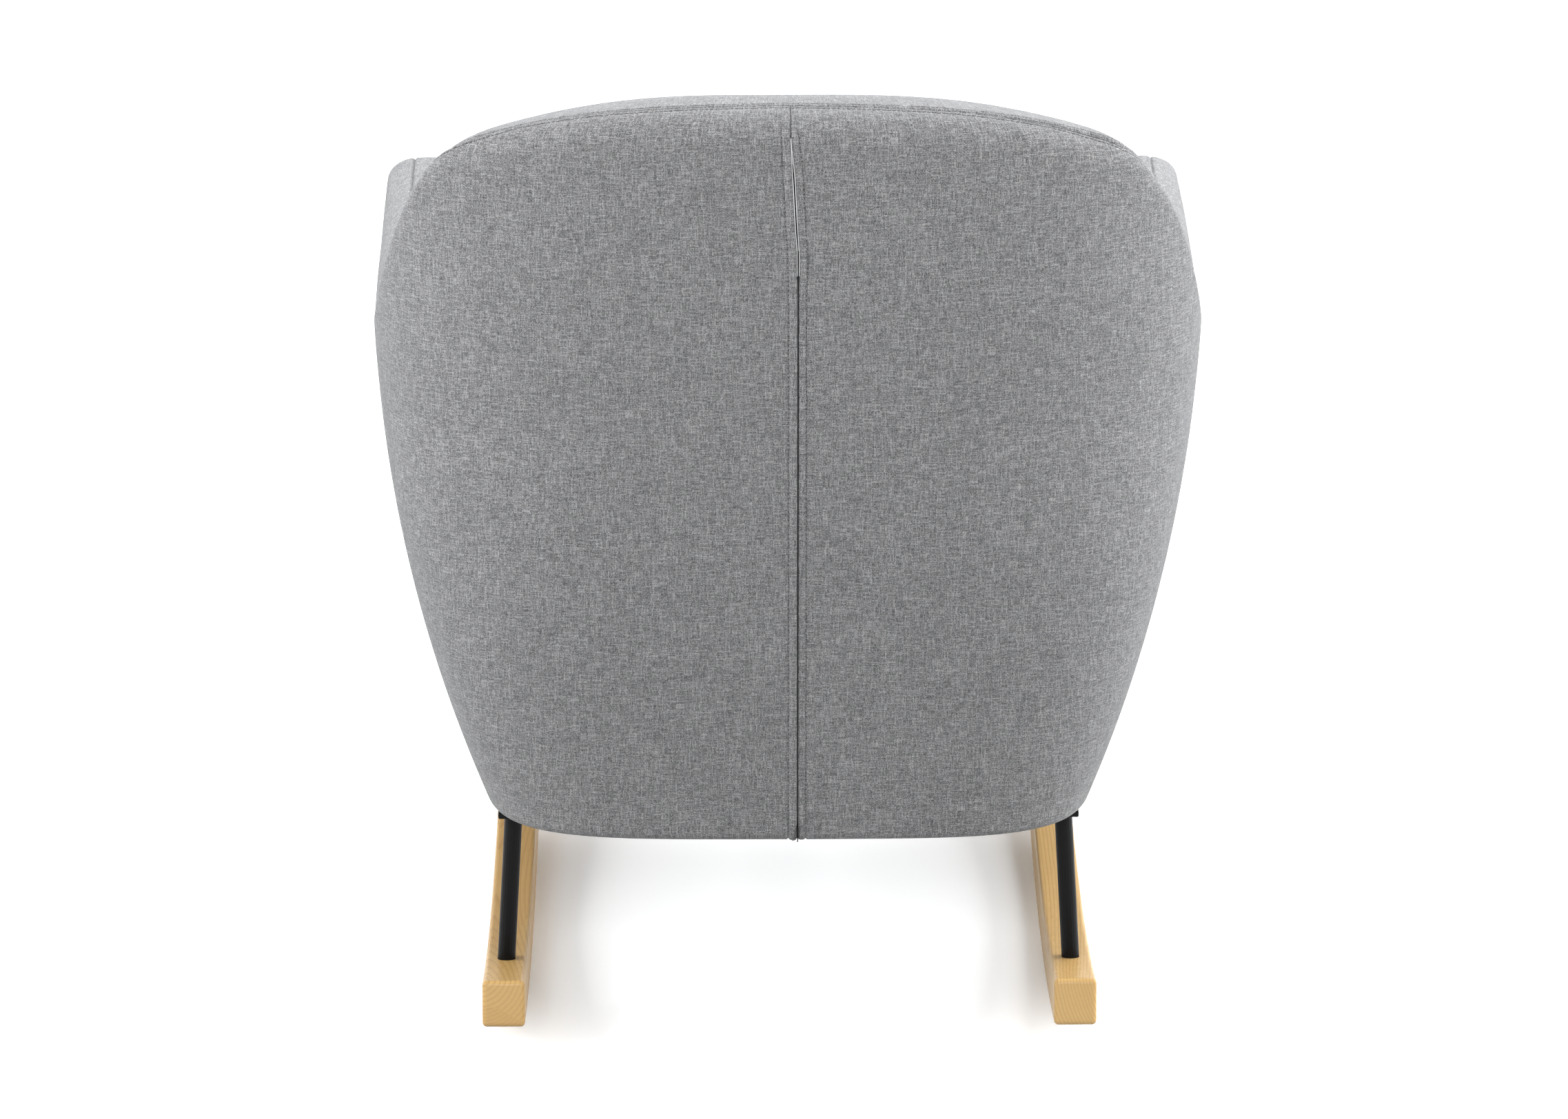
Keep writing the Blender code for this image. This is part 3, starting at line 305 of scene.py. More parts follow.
def declare(piece, body, stands_for=()):
    """Says what a piece rides on and which CAD nodes it stands for."""
    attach(piece, body)
    if stands_for:
        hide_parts(*stands_for)


def bump(distance, height, soft):
    return height * np.exp(-(distance / soft) ** 2)


def seam_lift(away, rows):
    """The dip of a sewn seam and of the topstitched row beside it."""
    return -bump(away, SEAM_DIP, SEAM_SOFT) - bump(away - ROW_OFFSET, ROW_DIP, ROW_SOFT) * rows


def puckers(away, u, shift=0.0):
    """Small gathers along a seam."""
    wave = np.sin(u * 2 * np.pi / PUCKER_PITCH + 2 * np.sin(u * 21) + shift)
    return bump(away, 1.0, PUCKER_REACH) * PUCKER_HIGH * wave


def calm(distance, reach=CALM):
    return np.clip(distance / reach, 0, 1)


def weave_at(u, v):
    """Place in the cloth's weave, in metres across and along."""
    return np.stack([u, v, np.zeros_like(u)], -1)


def facing(grid, way):
    return np.broadcast_to(np.array(way, float), grid.shape)


def sewn(name, grid, out_hint, lift, weave, pad):
    """Cover piece raised by lift off a grid, standing for its CAD node and the foam behind it."""
    grid = grid + surface_normals(grid, out_hint) * lift[..., None]
    normals = surface_normals(grid, out_hint)
    made = closed_sheet(name, grid, normals, CLOTH, weave, CLOTH_LOOK)
    declare(made, "chair", (name, pad))
    return grid, normals


def wander(u, v, height, seed):
    """Slow unevenness of stuffed cloth."""
    total = 0.0
    for k, (a, b) in enumerate(((9.0, 5.0), (-6.0, 11.0), (17.0, -8.0), (4.0, 21.0), (27.0, 13.0))):
        total = total + np.sin(a * u + b * v + seed * (1.7 + k)) / (1 + 0.5 * k)
    return height * total / 2.6


def tube(name, path, radius, look, sides, closed=False, weave_shift=0.0):
    """Round cord along a path of points."""
    path = np.asarray(path, float)
    if closed:
        tangent = np.roll(path, -1, 0) - np.roll(path, 1, 0)
    else:
        tangent = np.gradient(path, axis=0)
    tangent = unit(tangent)
    side = np.cross(tangent, (0.0, 0.0, 1.0))
    upright = np.linalg.norm(side, axis=1) < 0.2
    side[upright] = np.cross(tangent[upright], (0.0, 1.0, 0.0))
    side = unit(side)
    up = np.cross(side, tangent)
    turn = 2 * np.pi * np.arange(sides) / sides
    ring = np.cos(turn)[None, :, None] * side[:, None] + np.sin(turn)[None, :, None] * up[:, None]
    verts = path[:, None] + radius * ring
    weave = np.zeros(verts.shape)
    weave[..., 0] = run_along(path)[:, None] + weave_shift
    weave[..., 1] = turn[None, :] * radius
    count = len(path)
    faces = list(grid_faces(count, sides, 0, True))
    if closed:
        last = (count - 1) * sides
        for i in range(sides):
            j = (i + 1) % sides
            faces.append((last + i, last + j, j, i))
    else:
        faces.append(tuple(range(sides - 1, -1, -1)))
        faces.append(tuple((count - 1) * sides + i for i in range(sides)))
    return add_object(name, verts.reshape(-1, 3), faces, look, 60, weave.reshape(-1, 3))


def beads(name, path, normals, size, look, tilt=0.0, cross=False):
    """Row of short rounded threads along a path; size is their pitch, length and radius."""
    path, normals = np.asarray(path, float), np.asarray(normals, float)
    pitch, long, radius = size
    run = run_along(path)
    count = int(run[-1] / pitch)
    spots = (np.arange(count) + 0.5) * pitch

    def sampled(values, where):
        return np.stack([np.interp(where, run, values[:, k]) for k in range(3)], -1)

    centre = sampled(path, spots)
    tangent = unit(sampled(path, spots + 1e-4) - sampled(path, spots - 1e-4))
    up = sampled(normals, spots)
    up = unit(up - tangent * np.sum(up * tangent, 1, keepdims=True))
    side = np.cross(up, tangent)
    if cross:
        tangent, side = side, -tangent
    along = tangent * math.cos(tilt) + side * math.sin(tilt)
    side = np.cross(up, along)
    sides = 5
    stops = np.array((-0.5, -0.34, 0.34, 0.5)) * long
    sizes = np.array((0.35, 1.0, 1.0, 0.35)) * radius
    turn = 2 * np.pi * np.arange(sides) / sides
    ring = np.cos(turn)[None, None, :, None] * side[:, None, None] * 1.15
    ring = ring + np.sin(turn)[None, None, :, None] * up[:, None, None]
    verts = centre[:, None, None] + along[:, None, None] * stops[None, :, None, None]
    verts = verts + ring * sizes[None, :, None, None]
    one = [tuple(f) for f in grid_faces(len(stops), sides, 0, True)]
    one += [tuple(range(sides - 1, -1, -1)), tuple((len(stops) - 1) * sides + i for i in range(sides))]
    each = len(stops) * sides
    faces = [tuple(i + k * each for i in f) for k in range(count) for f in one]
    return add_object(name, verts.reshape(-1, 3), faces, look, 80)


# Materials
class Nodes:
    """Small helper that builds a material's node tree."""

    def __init__(self, name):
        self.material = bpy.data.materials.get(name) or bpy.data.materials.new(name)
        self.material.use_nodes = True
        self.tree = self.material.node_tree
        self.tree.nodes.clear()
        self.shader = self.add("ShaderNodeBsdfPrincipled")
        out = self.add("ShaderNodeOutputMaterial")
        self.link(self.shader.outputs[0], out.inputs["Surface"])

    def add(self, kind, inputs=None, **settings):
        node = self.tree.nodes.new(kind)
        for key, value in settings.items():
            setattr(node, key, value)
        for key, value in (inputs or {}).items():
            self.feed(node.inputs[key], value)
        return node

    def feed(self, socket, value):
        if isinstance(value, bpy.types.NodeSocket):
            self.link(value, socket)
        else:
            socket.default_value = value

    def link(self, a, b):
        self.tree.links.new(a, b)

    def math(self, kind, a, b=0.0, c=0.0):
        node = self.add("ShaderNodeMath", {0: a, 1: b, 2: c}, operation=kind)
        return node.outputs[0]

    def times(self, a, b):
        return self.math("MULTIPLY", a, b)

    def minus(self, a, b):
        return self.math("SUBTRACT", a, b)

    def times_plus(self, a, b, c):
        return self.math("MULTIPLY_ADD", a, b, c)

    def coords(self, name=None):
        if name is None:
            return self.add("ShaderNodeNewGeometry").outputs["Position"]
        return self.add("ShaderNodeAttribute", attribute_name=name).outputs["Vector"]

    def scaled(self, vector, scale, shift=(0.0, 0.0, 0.0), turn=(0.0, 0.0, 0.0)):
        node = self.add("ShaderNodeMapping", {"Vector": vector, "Scale": scale, "Location": shift,
                                              "Rotation": turn})
        return node.outputs[0]

    def parts(self, vector):
        return self.add("ShaderNodeSeparateXYZ", {0: vector}).outputs

    def whole(self, vector, kind="FLOOR"):
        return self.add("ShaderNodeVectorMath", {0: vector}, operation=kind).outputs[0]

    def dice(self, vector):
        """One random value for each whole-number cell."""
        return self.add("ShaderNodeTexWhiteNoise", {"Vector": vector}, noise_dimensions="2D").outputs["Value"]

    def either(self, amount, a, b):
        return self.add("ShaderNodeMix", {0: amount, 2: a, 3: b}).outputs[0]

    def waves(self, vector, scale, bands, warp):
        return self.add("ShaderNodeTexWave", {"Vector": vector, "Scale": scale, "Distortion": warp},
                        bands_direction=bands).outputs["Fac"]

    def off_half(self, value):
        return self.minus(value, 0.5)

    def grain(self, vector, scale, detail, rough, warp=0.0, shift=(0.0, 0.0, 0.0)):
        """Noise at its own scale along each axis, or at one scale for all."""
        if isinstance(scale, float):
            scale = (scale, scale, scale)
        place = self.scaled(vector, scale, shift)
        node = self.add("ShaderNodeTexNoise", {"Vector": place, "Scale": 1.0, "Detail": detail,
                                               "Roughness": rough, "Distortion": warp})
        return node.outputs["Fac"]

    def spread(self, value, low, high, to_low=0.0, to_high=1.0):
        node = self.add("ShaderNodeMapRange", {"Value": value, "From Min": low, "From Max": high,
                                               "To Min": to_low, "To Max": to_high})
        return node.outputs[0]

    def ramp(self, value, stops):
        node = self.add("ShaderNodeValToRGB", {"Fac": value})
        points = node.color_ramp.elements
        while len(points) < len(stops):
            points.new(0.5)
        for point, (at, colour) in zip(points, stops):
            point.position = at
            point.color = (*colour, 1.0)
        return node.outputs[0]

    def mix(self, amount, a, b):
        node = self.add("ShaderNodeMix", data_type="RGBA")
        self.feed(node.inputs[0], amount)
        self.feed(node.inputs[6], a)
        self.feed(node.inputs[7], b)
        return node.outputs[2]

    def bump(self, height, distance, strength):
        node = self.add("ShaderNodeBump", {"Height": height, "Distance": distance, "Strength": strength})
        return node.outputs[0]

    def finish(self, **sockets):
        for key, value in sockets.items():
            self.feed(self.shader.inputs[key.replace("_", " ")], value)
        return self.material


def cover_cloth():
    """Grey melange plain weave: fine threads, each shade broken up, with short lighter slubs."""
    n = Nodes("cover_cloth")
    at = n.coords("weave")
    cells = n.scaled(at, (1 / THREAD, 1 / THREAD, 1.0))
    whole = n.whole(cells)
    i, j, _ = n.parts(whole)
    over = n.math("PINGPONG", n.math("ADD", i, j), 1.0)
    speck = n.dice(whole)
    # Each thread keeps a little of its own shade for a few millimetres.
    weft = n.dice(n.whole(n.scaled(at, (THREAD_RUNS, 1 / THREAD, 1.0), (3.0, 0.0, 0.0))))
    warp = n.dice(n.whole(n.scaled(at, (1 / THREAD, THREAD_RUNS, 1.0), (0.0, 9.0, 0.0))))
    own = n.either(over, weft, warp)
    slub = n.spread(own, 0.90, 0.93)
    patch = n.grain(at, (14.0, 14.0, 1.0), 3.0, 0.6)
    shade = 0.5
    for part, weight in ((n.off_half(speck), 0.58), (n.off_half(own), 0.44), (slub, 0.24),
                         (n.off_half(patch), 0.06)):
        shade = n.times_plus(part, weight, shade)
    tones = ((0.0, (0.040, 0.041, 0.044)), (0.5, (0.190, 0.1915, 0.196)), (1.0, (0.43, 0.433, 0.437)))
    # Rounded threads, over and under one another; each thread is darkened towards its edges as painted shade
    # where it dips under the next.
    x_part, y_part, _ = n.parts(n.whole(cells, "FRACTION"))
    x_side, y_side = (n.math("ABSOLUTE", n.off_half(p)) for p in (x_part, y_part))
    beside = n.either(over, y_side, x_side)
    dip = n.times(beside, beside)
    # Painted shade: the cloth is made darker where each thread dips at its edges.
    shade = n.times_plus(dip, -0.45, n.math("ADD", shade, 0.035))
    colour = n.ramp(shade, tones)
    height = n.times_plus(dip, -2.0, n.times(speck, 0.3))
    normal = n.bump(height, 0.00022, 0.6)
    return n.finish(Base_Color=colour, Roughness=0.92, Sheen_Weight=0.28, Sheen_Roughness=0.45,
                    Sheen_Tint=(0.95, 0.97, 1.0, 1.0), Normal=normal, Specular_IOR_Level=0.15)


def thread(name, colour):
    """Twisted sewing thread."""
    n = Nodes(name)
    at = n.coords()
    twist = n.grain(at, 3000.0, 2.0, 0.6)
    tone = n.ramp(twist, ((0.3, tuple(c * 0.7 for c in colour)), (0.7, tuple(c * 1.2 for c in colour))))
    return n.finish(Base_Color=tone, Roughness=0.7, Sheen_Weight=0.2, Normal=n.bump(twist, 0.0001, 0.5))


def lining_cloth():
    """Black non-woven lining with its faint pressed grid of dots."""
    n = Nodes("lining_cloth")
    at = n.coords()
    fibres = n.grain(at, 420.0, 4.0, 0.7, 0.6)
    dots = n.add("ShaderNodeTexVoronoi", {"Vector": n.scaled(at, (420.0, 420.0, 0.0)), "Randomness": 0.0})
    pressed = n.spread(dots.outputs["Distance"], 0.12, 0.3)
    tone = n.ramp(fibres, ((0.3, (0.018, 0.018, 0.019)), (0.75, (0.06, 0.06, 0.062))))
    height = n.times_plus(fibres, 0.5, pressed)
    return n.finish(Base_Color=tone, Roughness=0.8, Sheen_Weight=0.25, Normal=n.bump(height, 0.0002, 0.6))


def webbing_cloth():
    """Black elastic webbing: coarse ribs across, finer ones along, with painted shade darkening the hollows
    between the ribs.
    """
    n = Nodes("webbing_cloth")
    at = n.coords()
    height = n.times(n.waves(at, 120.0, "Y", 0.3), n.waves(at, 210.0, "X", 0.3))
    # Painted shade: the colour follows the ribs' height and is darkest in the hollows.
    tone = n.ramp(height, ((0.0, (0.012, 0.012, 0.013)), (1.0, (0.075, 0.075, 0.08))))
    return n.finish(Base_Color=tone, Roughness=0.75, Sheen_Weight=0.2, Normal=n.bump(height, 0.0004, 0.7))


def zip_cloth():
    """Pale herringbone tape, with painted shade darkening the hollows of its ribs."""
    n = Nodes("zip_cloth")
    ribs = n.waves(n.scaled(n.coords(), (1.0, 1.0, 1.0), turn=(0.0, 0.8, 0.0)), 500.0, "Z", 0.2)
    # Painted shade: the colour follows the ribs' height and is darker in their hollows.
    tone = n.ramp(ribs, ((0.0, (0.78, 0.78, 0.79)), (1.0, (0.93, 0.93, 0.94))))
    return n.finish(Base_Color=tone, Roughness=0.7, Sheen_Weight=0.1, Normal=n.bump(ribs, 0.0001, 0.5))


def zip_coil_painted_shade():
    """Nylon coil made near black as painted shade for the depth of the back seam's opening."""
    n = Nodes("zip_coil_painted_shade")
    wear = n.grain(n.coords(), 300.0, 3.0, 0.6)
    tone = n.ramp(wear, ((0.3, (0.010, 0.010, 0.011)), (0.7, (0.020, 0.020, 0.021))))
    return n.finish(Base_Color=tone, Roughness=n.spread(wear, 0.3, 0.7, 0.3, 0.45))


def beech_wood():
    """Clear-varnished beech: rings about a lengthways axis, fine dark flecks and one small knot."""
    n = Nodes("beech_wood")
    at = n.coords()
    x, _, z = n.parts(at)
    drift = n.grain(at, (22.0, 3.0, 22.0), 3.0, 0.55)
    broad = n.grain(at, (7.0, 1.6, 7.0), 2.0, 0.5, shift=(4.0, 0.0, 2.0))
    # Rings about an axis along each rocker, outboard of it and above its raised end.
    side = n.math("ABSOLUTE", x)
    mirrored = n.spread(x, -0.001, 0.001)
    dx = n.minus(side, n.times_plus(mirrored, -0.072, 0.352))
    dz = n.minus(z, 0.090)
    far = n.math("SQRT", n.math("ADD", n.times(dx, dx), n.times(dz, dz)))
    # One rocker is glued up from two boards, whose joint runs slanting along it.
    joint = n.times_plus(n.math("MINIMUM", n.minus(side, 0.2615), 0.0), 0.571, 0.058)
    lower = n.times(n.spread(n.minus(joint, z), -0.0001, 0.0001), mirrored)
    ring = n.times_plus(n.minus(drift, 0.5), 0.0050, far)
    ring = n.times_plus(n.minus(broad, 0.5), 0.010, ring)
    ring = n.times_plus(lower, 0.0063, ring)
    upper = n.times(mirrored, n.minus(1.0, lower))
    pitch = n.times_plus(upper, -90.0, 330.0)
    phase = n.math("FRACT", n.times(ring, pitch))
    late = n.ramp(phase, ((0.0, (0.0, 0.0, 0.0)), (0.55, (0.12, 0.12, 0.12)), (0.88, (1.0, 1.0, 1.0)),
                          (1.0, (0.0, 0.0, 0.0))))
    flecks = n.grain(at, (1500.0, 160.0, 1500.0), 2.0, 0.6)
    pores = n.spread(flecks, 0.60, 0.74)
    pale = n.ramp(broad, ((0.25, (0.49, 0.305, 0.108)), (0.55, (0.56, 0.362, 0.140)),
                          (0.8, (0.61, 0.405, 0.170))))
    toned = n.mix(n.times(late, 0.55), pale, (0.33, 0.175, 0.055, 1.0))
    toned = n.mix(n.times(lower, 0.35), toned, (0.43, 0.25, 0.085, 1.0))
    toned = n.mix(n.times(pores, 0.30), toned, (0.28, 0.155, 0.055, 1.0))
    fine = n.grain(at, (520.0, 26.0, 520.0), 3.0, 0.6, shift=(2.0, 1.0, 5.0))
    toned = n.mix(n.spread(fine, 0.42, 0.68, 0.0, 0.22), toned, (0.40, 0.25, 0.095, 1.0))
    # Painted light: faces across the grain, the rockers' ends, are made lighter in colour, as they stand lit
    # brighter than the tops.
    facing = n.parts(n.add("ShaderNodeNewGeometry").outputs["Normal"])
    end = n.spread(n.math("ABSOLUTE", facing[1]), 0.80, 0.95)
    toned = n.mix(n.times(end, 0.30), toned, (0.66, 0.45, 0.22, 1.0))
    knot_at = n.add("ShaderNodeVectorMath", {0: at, 1: (0.2528, 0.4120, 0.0729)}, operation="DISTANCE")
    knot = n.spread(knot_at.outputs["Value"], 0.0021, 0.0004)
    toned = n.mix(n.times(knot, 0.75), toned, (0.28, 0.125, 0.045, 1.0))
    height = n.times_plus(pores, -0.6, n.times(late, 0.15))
    rough = n.spread(fine, 0.3, 0.7, 0.30, 0.42)
    return n.finish(Base_Color=toned, Roughness=rough, Coat_Weight=0.0, Specular_IOR_Level=0.22,
                    Normal=n.bump(height, 0.00012, 0.5))


def plywood():
    """Birch plywood, with its plies in the edges."""
    n = Nodes("plywood")
    at = n.coords()
    plies = n.waves(at, 105.0, "Z", 0.6)
    grain = n.grain(at, (300.0, 12.0, 300.0), 4.0, 0.6, 0.4)
    tone = n.ramp(grain, ((0.3, (0.42, 0.29, 0.155)), (0.7, (0.66, 0.50, 0.31))))
    tone = n.mix(n.times(plies, 0.25), tone, (0.36, 0.23, 0.11, 1.0))
    return n.finish(Base_Color=tone, Roughness=0.75, Normal=n.bump(grain, 0.0003, 0.5))


def black_paint():
    """Satin black powder coat, with its faint orange peel and dulled patches."""
    n = Nodes("black_paint")
    at = n.coords()
    peel = n.grain(at, 700.0, 2.0, 0.5)
    haze = n.grain(at, 35.0, 4.0, 0.6)
    tone = n.ramp(haze, ((0.3, (0.0040, 0.0040, 0.0042)), (0.7, (0.0062, 0.0062, 0.0066))))
    return n.finish(Base_Color=tone, Roughness=n.spread(haze, 0.3, 0.7, 0.42, 0.54), Specular_IOR_Level=0.10,
                    Normal=n.bump(peel, 0.00008, 0.4))


def zinc():
    """Zinc-plated steel, brushed and slightly bloomed."""
    n = Nodes("zinc")
    at = n.coords()
    brush = n.grain(at, (400.0, 400.0, 2500.0), 3.0, 0.6)
    bloom = n.grain(at, 60.0, 4.0, 0.6)
    tone = n.ramp(bloom, ((0.3, (0.46, 0.46, 0.47)), (0.7, (0.66, 0.66, 0.67))))
    return n.finish(Base_Color=tone, Metallic=1.0, Roughness=n.spread(brush, 0.3, 0.7, 0.28, 0.48),
                    Normal=n.bump(brush, 0.00005, 0.4))


CLOTH_LOOK = cover_cloth()
THREAD_LOOK = thread("grey_thread", (0.028, 0.0285, 0.030))
LINING_LOOK = lining_cloth()
WEBBING_LOOK = webbing_cloth()
TAPE_LOOK = zip_cloth()
COIL_PAINTED_SHADE_LOOK = zip_coil_painted_shade()
BEECH_LOOK = beech_wood()
PLY_LOOK = plywood()
PAINT_LOOK = black_paint()
ZINC_LOOK = zinc()

CAD_LOOKS = (("rocker_bolt", ZINC_LOOK), ("rocker_", BEECH_LOOK), ("leg_insert", ZINC_LOOK),
             ("leg_", PAINT_LOOK), ("side_rail", PAINT_LOOK), ("rail_bolt", PAINT_LOOK),
             ("tee_nut", ZINC_LOOK), ("base_board", PLY_LOOK), ("seat_rail", PLY_LOOK),
             ("seat_strap", WEBBING_LOOK), ("back_strap", WEBBING_LOOK), ("back_hoop", ZINC_LOOK),
             ("arm_hoop", ZINC_LOOK), ("zip_slider", PAINT_LOOK), ("zip_pull", PAINT_LOOK))


def dress_cad_nodes():
    for name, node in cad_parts.items():
        for start, look in CAD_LOOKS:
            if name.startswith(start):
                for slot in node.material_slots:
                    slot.material = look
                break


# Upholstery
def outward(points):
    """Rough outward direction of the shell's outer surfaces."""
    return unit(points - np.array((0.0, 0.05, 0.45)))


def inward(points):
    return -outward(points)


def up_and_out(points):
    return outward(points) + np.array((0, 0, 2.0))


def front_roll():
    """Distances short of the shell's front and the draw-in there, round its front edge."""
    turn = np.linspace(0, 0.5 * np.pi, FRONT_STEPS)
    return ROLL * (1 - np.sin(turn)), ROLL * (1 - np.cos(turn))


# Distances from an edge and from a seam at which the cloth has a row of points.
EDGE_STEPS = np.array((0, 0.25, 0.55, 0.9, 1.4, 2.0, 2.8, 3.8, 5.0, 5.9, 6.4, 6.8, 7.2, 7.8, 8.4, 9.2,
                       10.5, 12.5)) / 1000
SEAM_STEPS = np.array((0, 0.3, 0.7, 1.1, 1.6, 2.2, 3.0, 3.7, 4.2, 4.6, 5.0, 5.4, 5.8, 6.3, 7.2, 9.0,
                       11.5)) / 1000
ROW_STEP = int(np.argmin(np.abs(SEAM_STEPS - ROW_OFFSET)))      # the topstitched one
ON_CLOTH = 0.0001           # stitches lie this far out of the cloth


def seam_rows(count):
    return np.broadcast_to(SEAM_STEPS, (count, len(SEAM_STEPS)))


def thread_row(name, path, normals, size):
    piece = beads(name, path + normals * ON_CLOTH, normals, size, THREAD_LOOK)
    declare(piece, "chair")


def back_panel(label, side):
    """Outer cover from the back seam round to the arm's front, with the foam behind it."""
    short, shrink_front = front_roll()
    middle = np.linspace(0, 1, 190)[1:-1]
    near = len(EDGE_STEPS)
    far = near + len(middle)
    shrink = np.concatenate([np.zeros(far), shrink_front])

    def away(z):
        start = np.interp(z, SLIT_HEIGHTS, SLIT_LINE) + side * np.interp(z, GAPE_HEIGHTS, GAPE)
        whole = girth(z) - side * start
        parts = [np.broadcast_to(EDGE_STEPS[:, None], (near, z.shape[1])),
                 EDGE_STEPS[-1] + (whole[near:far] - EDGE_STEPS[-1] - ROLL) * middle[:, None],
                 whole[far:] - short[:, None]]
        return start + side * np.concatenate(parts, 0)

    section = Section(away, shrink, DECK_TOP)
    total = section.seam[:, None]
    body = np.linspace(0, 1, 105)[None, 1:]
    down = np.concatenate([seam_rows(len(total)),
                           SEAM_STEPS[-1] + (total - SEAM_STEPS[-1] - HEM_FINE) * body,
                           total - HEM_FINE * (1 - np.linspace(0, 1, 16)[None, 1:])], 1)
    v = total - down
    grid = section.at(v)
    edge = np.concatenate([EDGE_STEPS, np.full(len(shrink) - near, 1.0)])[:, None]
    front = np.concatenate([np.full(far, 1.0), short * FRONT_ARC])[:, None]
    u = away(grid[..., 2])
    fold = np.clip(edge / 0.0017, 0, 1)
    lift = -0.0016 * (1 - np.sqrt(np.clip(1 - (1 - fold) ** 2, 0, 1)))
    below = np.clip((down - 0.012) / 0.03, 0, 1)
    lift = lift + below * (bump(edge - HEM_ROW[label], -ROW_DIP * 1.2, 0.0008)
                           + bump(edge - 0.0032, HEM_STRIP[label], 0.0024))
    lift = lift + seam_lift(down, section.rows) + puckers(down, u) - bump(front, FRONT_DIP, FRONT_SOFT)
    lift = lift + wander(u, v, 0.0011, 1.0 + side) * calm(down) * calm(edge) * calm(v)
    grid, normals = sewn("back_panel_" + label, grid, outward, lift, weave_at(u + 3.0 * side, v),
                         "outer_pad_" + label)
    # Thread rows: below the rim seam, and beside the back seam.
    keep = np.flatnonzero(section.rows[:, 0] > 0.5)[3:]
    thread_row("seam_thread_low_" + label, grid[keep, ROW_STEP], normals[keep, ROW_STEP], STITCH)
    col = int(np.argmin(np.abs(EDGE_STEPS - HEM_ROW[label])))
    rows = slice(len(SEAM_STEPS) + 3, grid.shape[1] - 9)
    thread_row("hem_thread_" + label, grid[col, rows], normals[col, rows], HEM_STITCH)


def band_columns():
    """Columns right round the shell, from one arm's front to the other's."""
    short, shrink_front = front_roll()
    middle = np.linspace(-1, 1, 361)[1:-1]
    shrink = np.concatenate([shrink_front[::-1], np.zeros(len(middle)), shrink_front])

    def away(z):
        whole = girth(z)
        left = -(whole[:FRONT_STEPS] - short[::-1, None])
        mid = (whole[FRONT_STEPS:-FRONT_STEPS] - ROLL) * middle[:, None]
        return np.concatenate([left, mid, whole[-FRONT_STEPS:] - short[:, None]], 0)

    front = np.concatenate([short[::-1], np.full(len(middle), 1.0), short]) * FRONT_ARC
    return shrink, away, front[:, None]


def rim_band_and_inner_cover():
    """The band over the rim, between its two seams, and the cover inside, down to the seat deck."""
    shrink, away, front = band_columns()
    section = Section(away, shrink, DECK_TOP - 0.012)
    front_dip = bump(front, FRONT_DIP, FRONT_SOFT)
    wide = (section.inner_seam - section.seam)[:, None]
    body = np.linspace(0, 1, 22)[None, 1:-1]
    over = np.concatenate([seam_rows(len(shrink)), SEAM_STEPS[-1] + (wide - 2 * SEAM_STEPS[-1]) * body,
                           wide - SEAM_STEPS[::-1]], 1)
    grid = section.at(section.seam[:, None] + over)
    u = away(np.full(over.shape, WIDEST))
    other = wide - over
    lift = seam_lift(over, section.rows) + seam_lift(other, section.rows) + puckers(over, u, 1.0) - front_dip
    lift = lift + wander(u, over, 0.0007, 4.0) * calm(over, 0.03) * calm(other, 0.03)
    grid, normals = sewn("rim_band", grid, up_and_out, lift, weave_at(u, over + 1.0), "rim_pad")
    keep = np.flatnonzero(section.rows[:, 0] > 0.5)
    for name, col in (("seam_thread_high", ROW_STEP), ("seam_thread_inside", over.shape[1] - 1 - ROW_STEP)):
        thread_row(name, grid[keep, col], normals[keep, col], STITCH)

    deep = (section.end - section.inner_seam)[:, None]
    body = np.linspace(0, 1, 70)[None, 1:]
    down = np.concatenate([seam_rows(len(shrink)), SEAM_STEPS[-1] + (deep - SEAM_STEPS[-1]) * body], 1)
    grid = section.at(section.inner_seam[:, None] + down)
    u = away(grid[..., 2]) * 0.86       # the inside is this much shorter round than the outside
    v = deep - down
    joint = np.abs(np.abs(u) - INNER_JOINT)
    swell = calm(down, 0.20)
    lift = -bump(down, SEAM_DIP, SEAM_SOFT) - bump(joint, 0.0030, 0.0040) - front_dip
    lift = lift + bump(np.abs(u), 0.005, 0.20) * swell * swell * (3 - 2 * swell)
    lift = lift + wander(u, v, 0.0016, 7.0) * calm(down)
    sewn("inner_cover", grid, inward, lift, weave_at(u, v + 2.0), "inner_pad")


ARM_CROWN = 0.0085          # how far an arm's front panel swells
APRON_TUCK, APRON_END = -0.2600, -0.2603    # where the apron's cover turns in, below and above
APRON_SWELL, APRON_ROUND = 0.006, 0.020
APRON_GAP = 0.0008          # between the apron and the inside of the arms


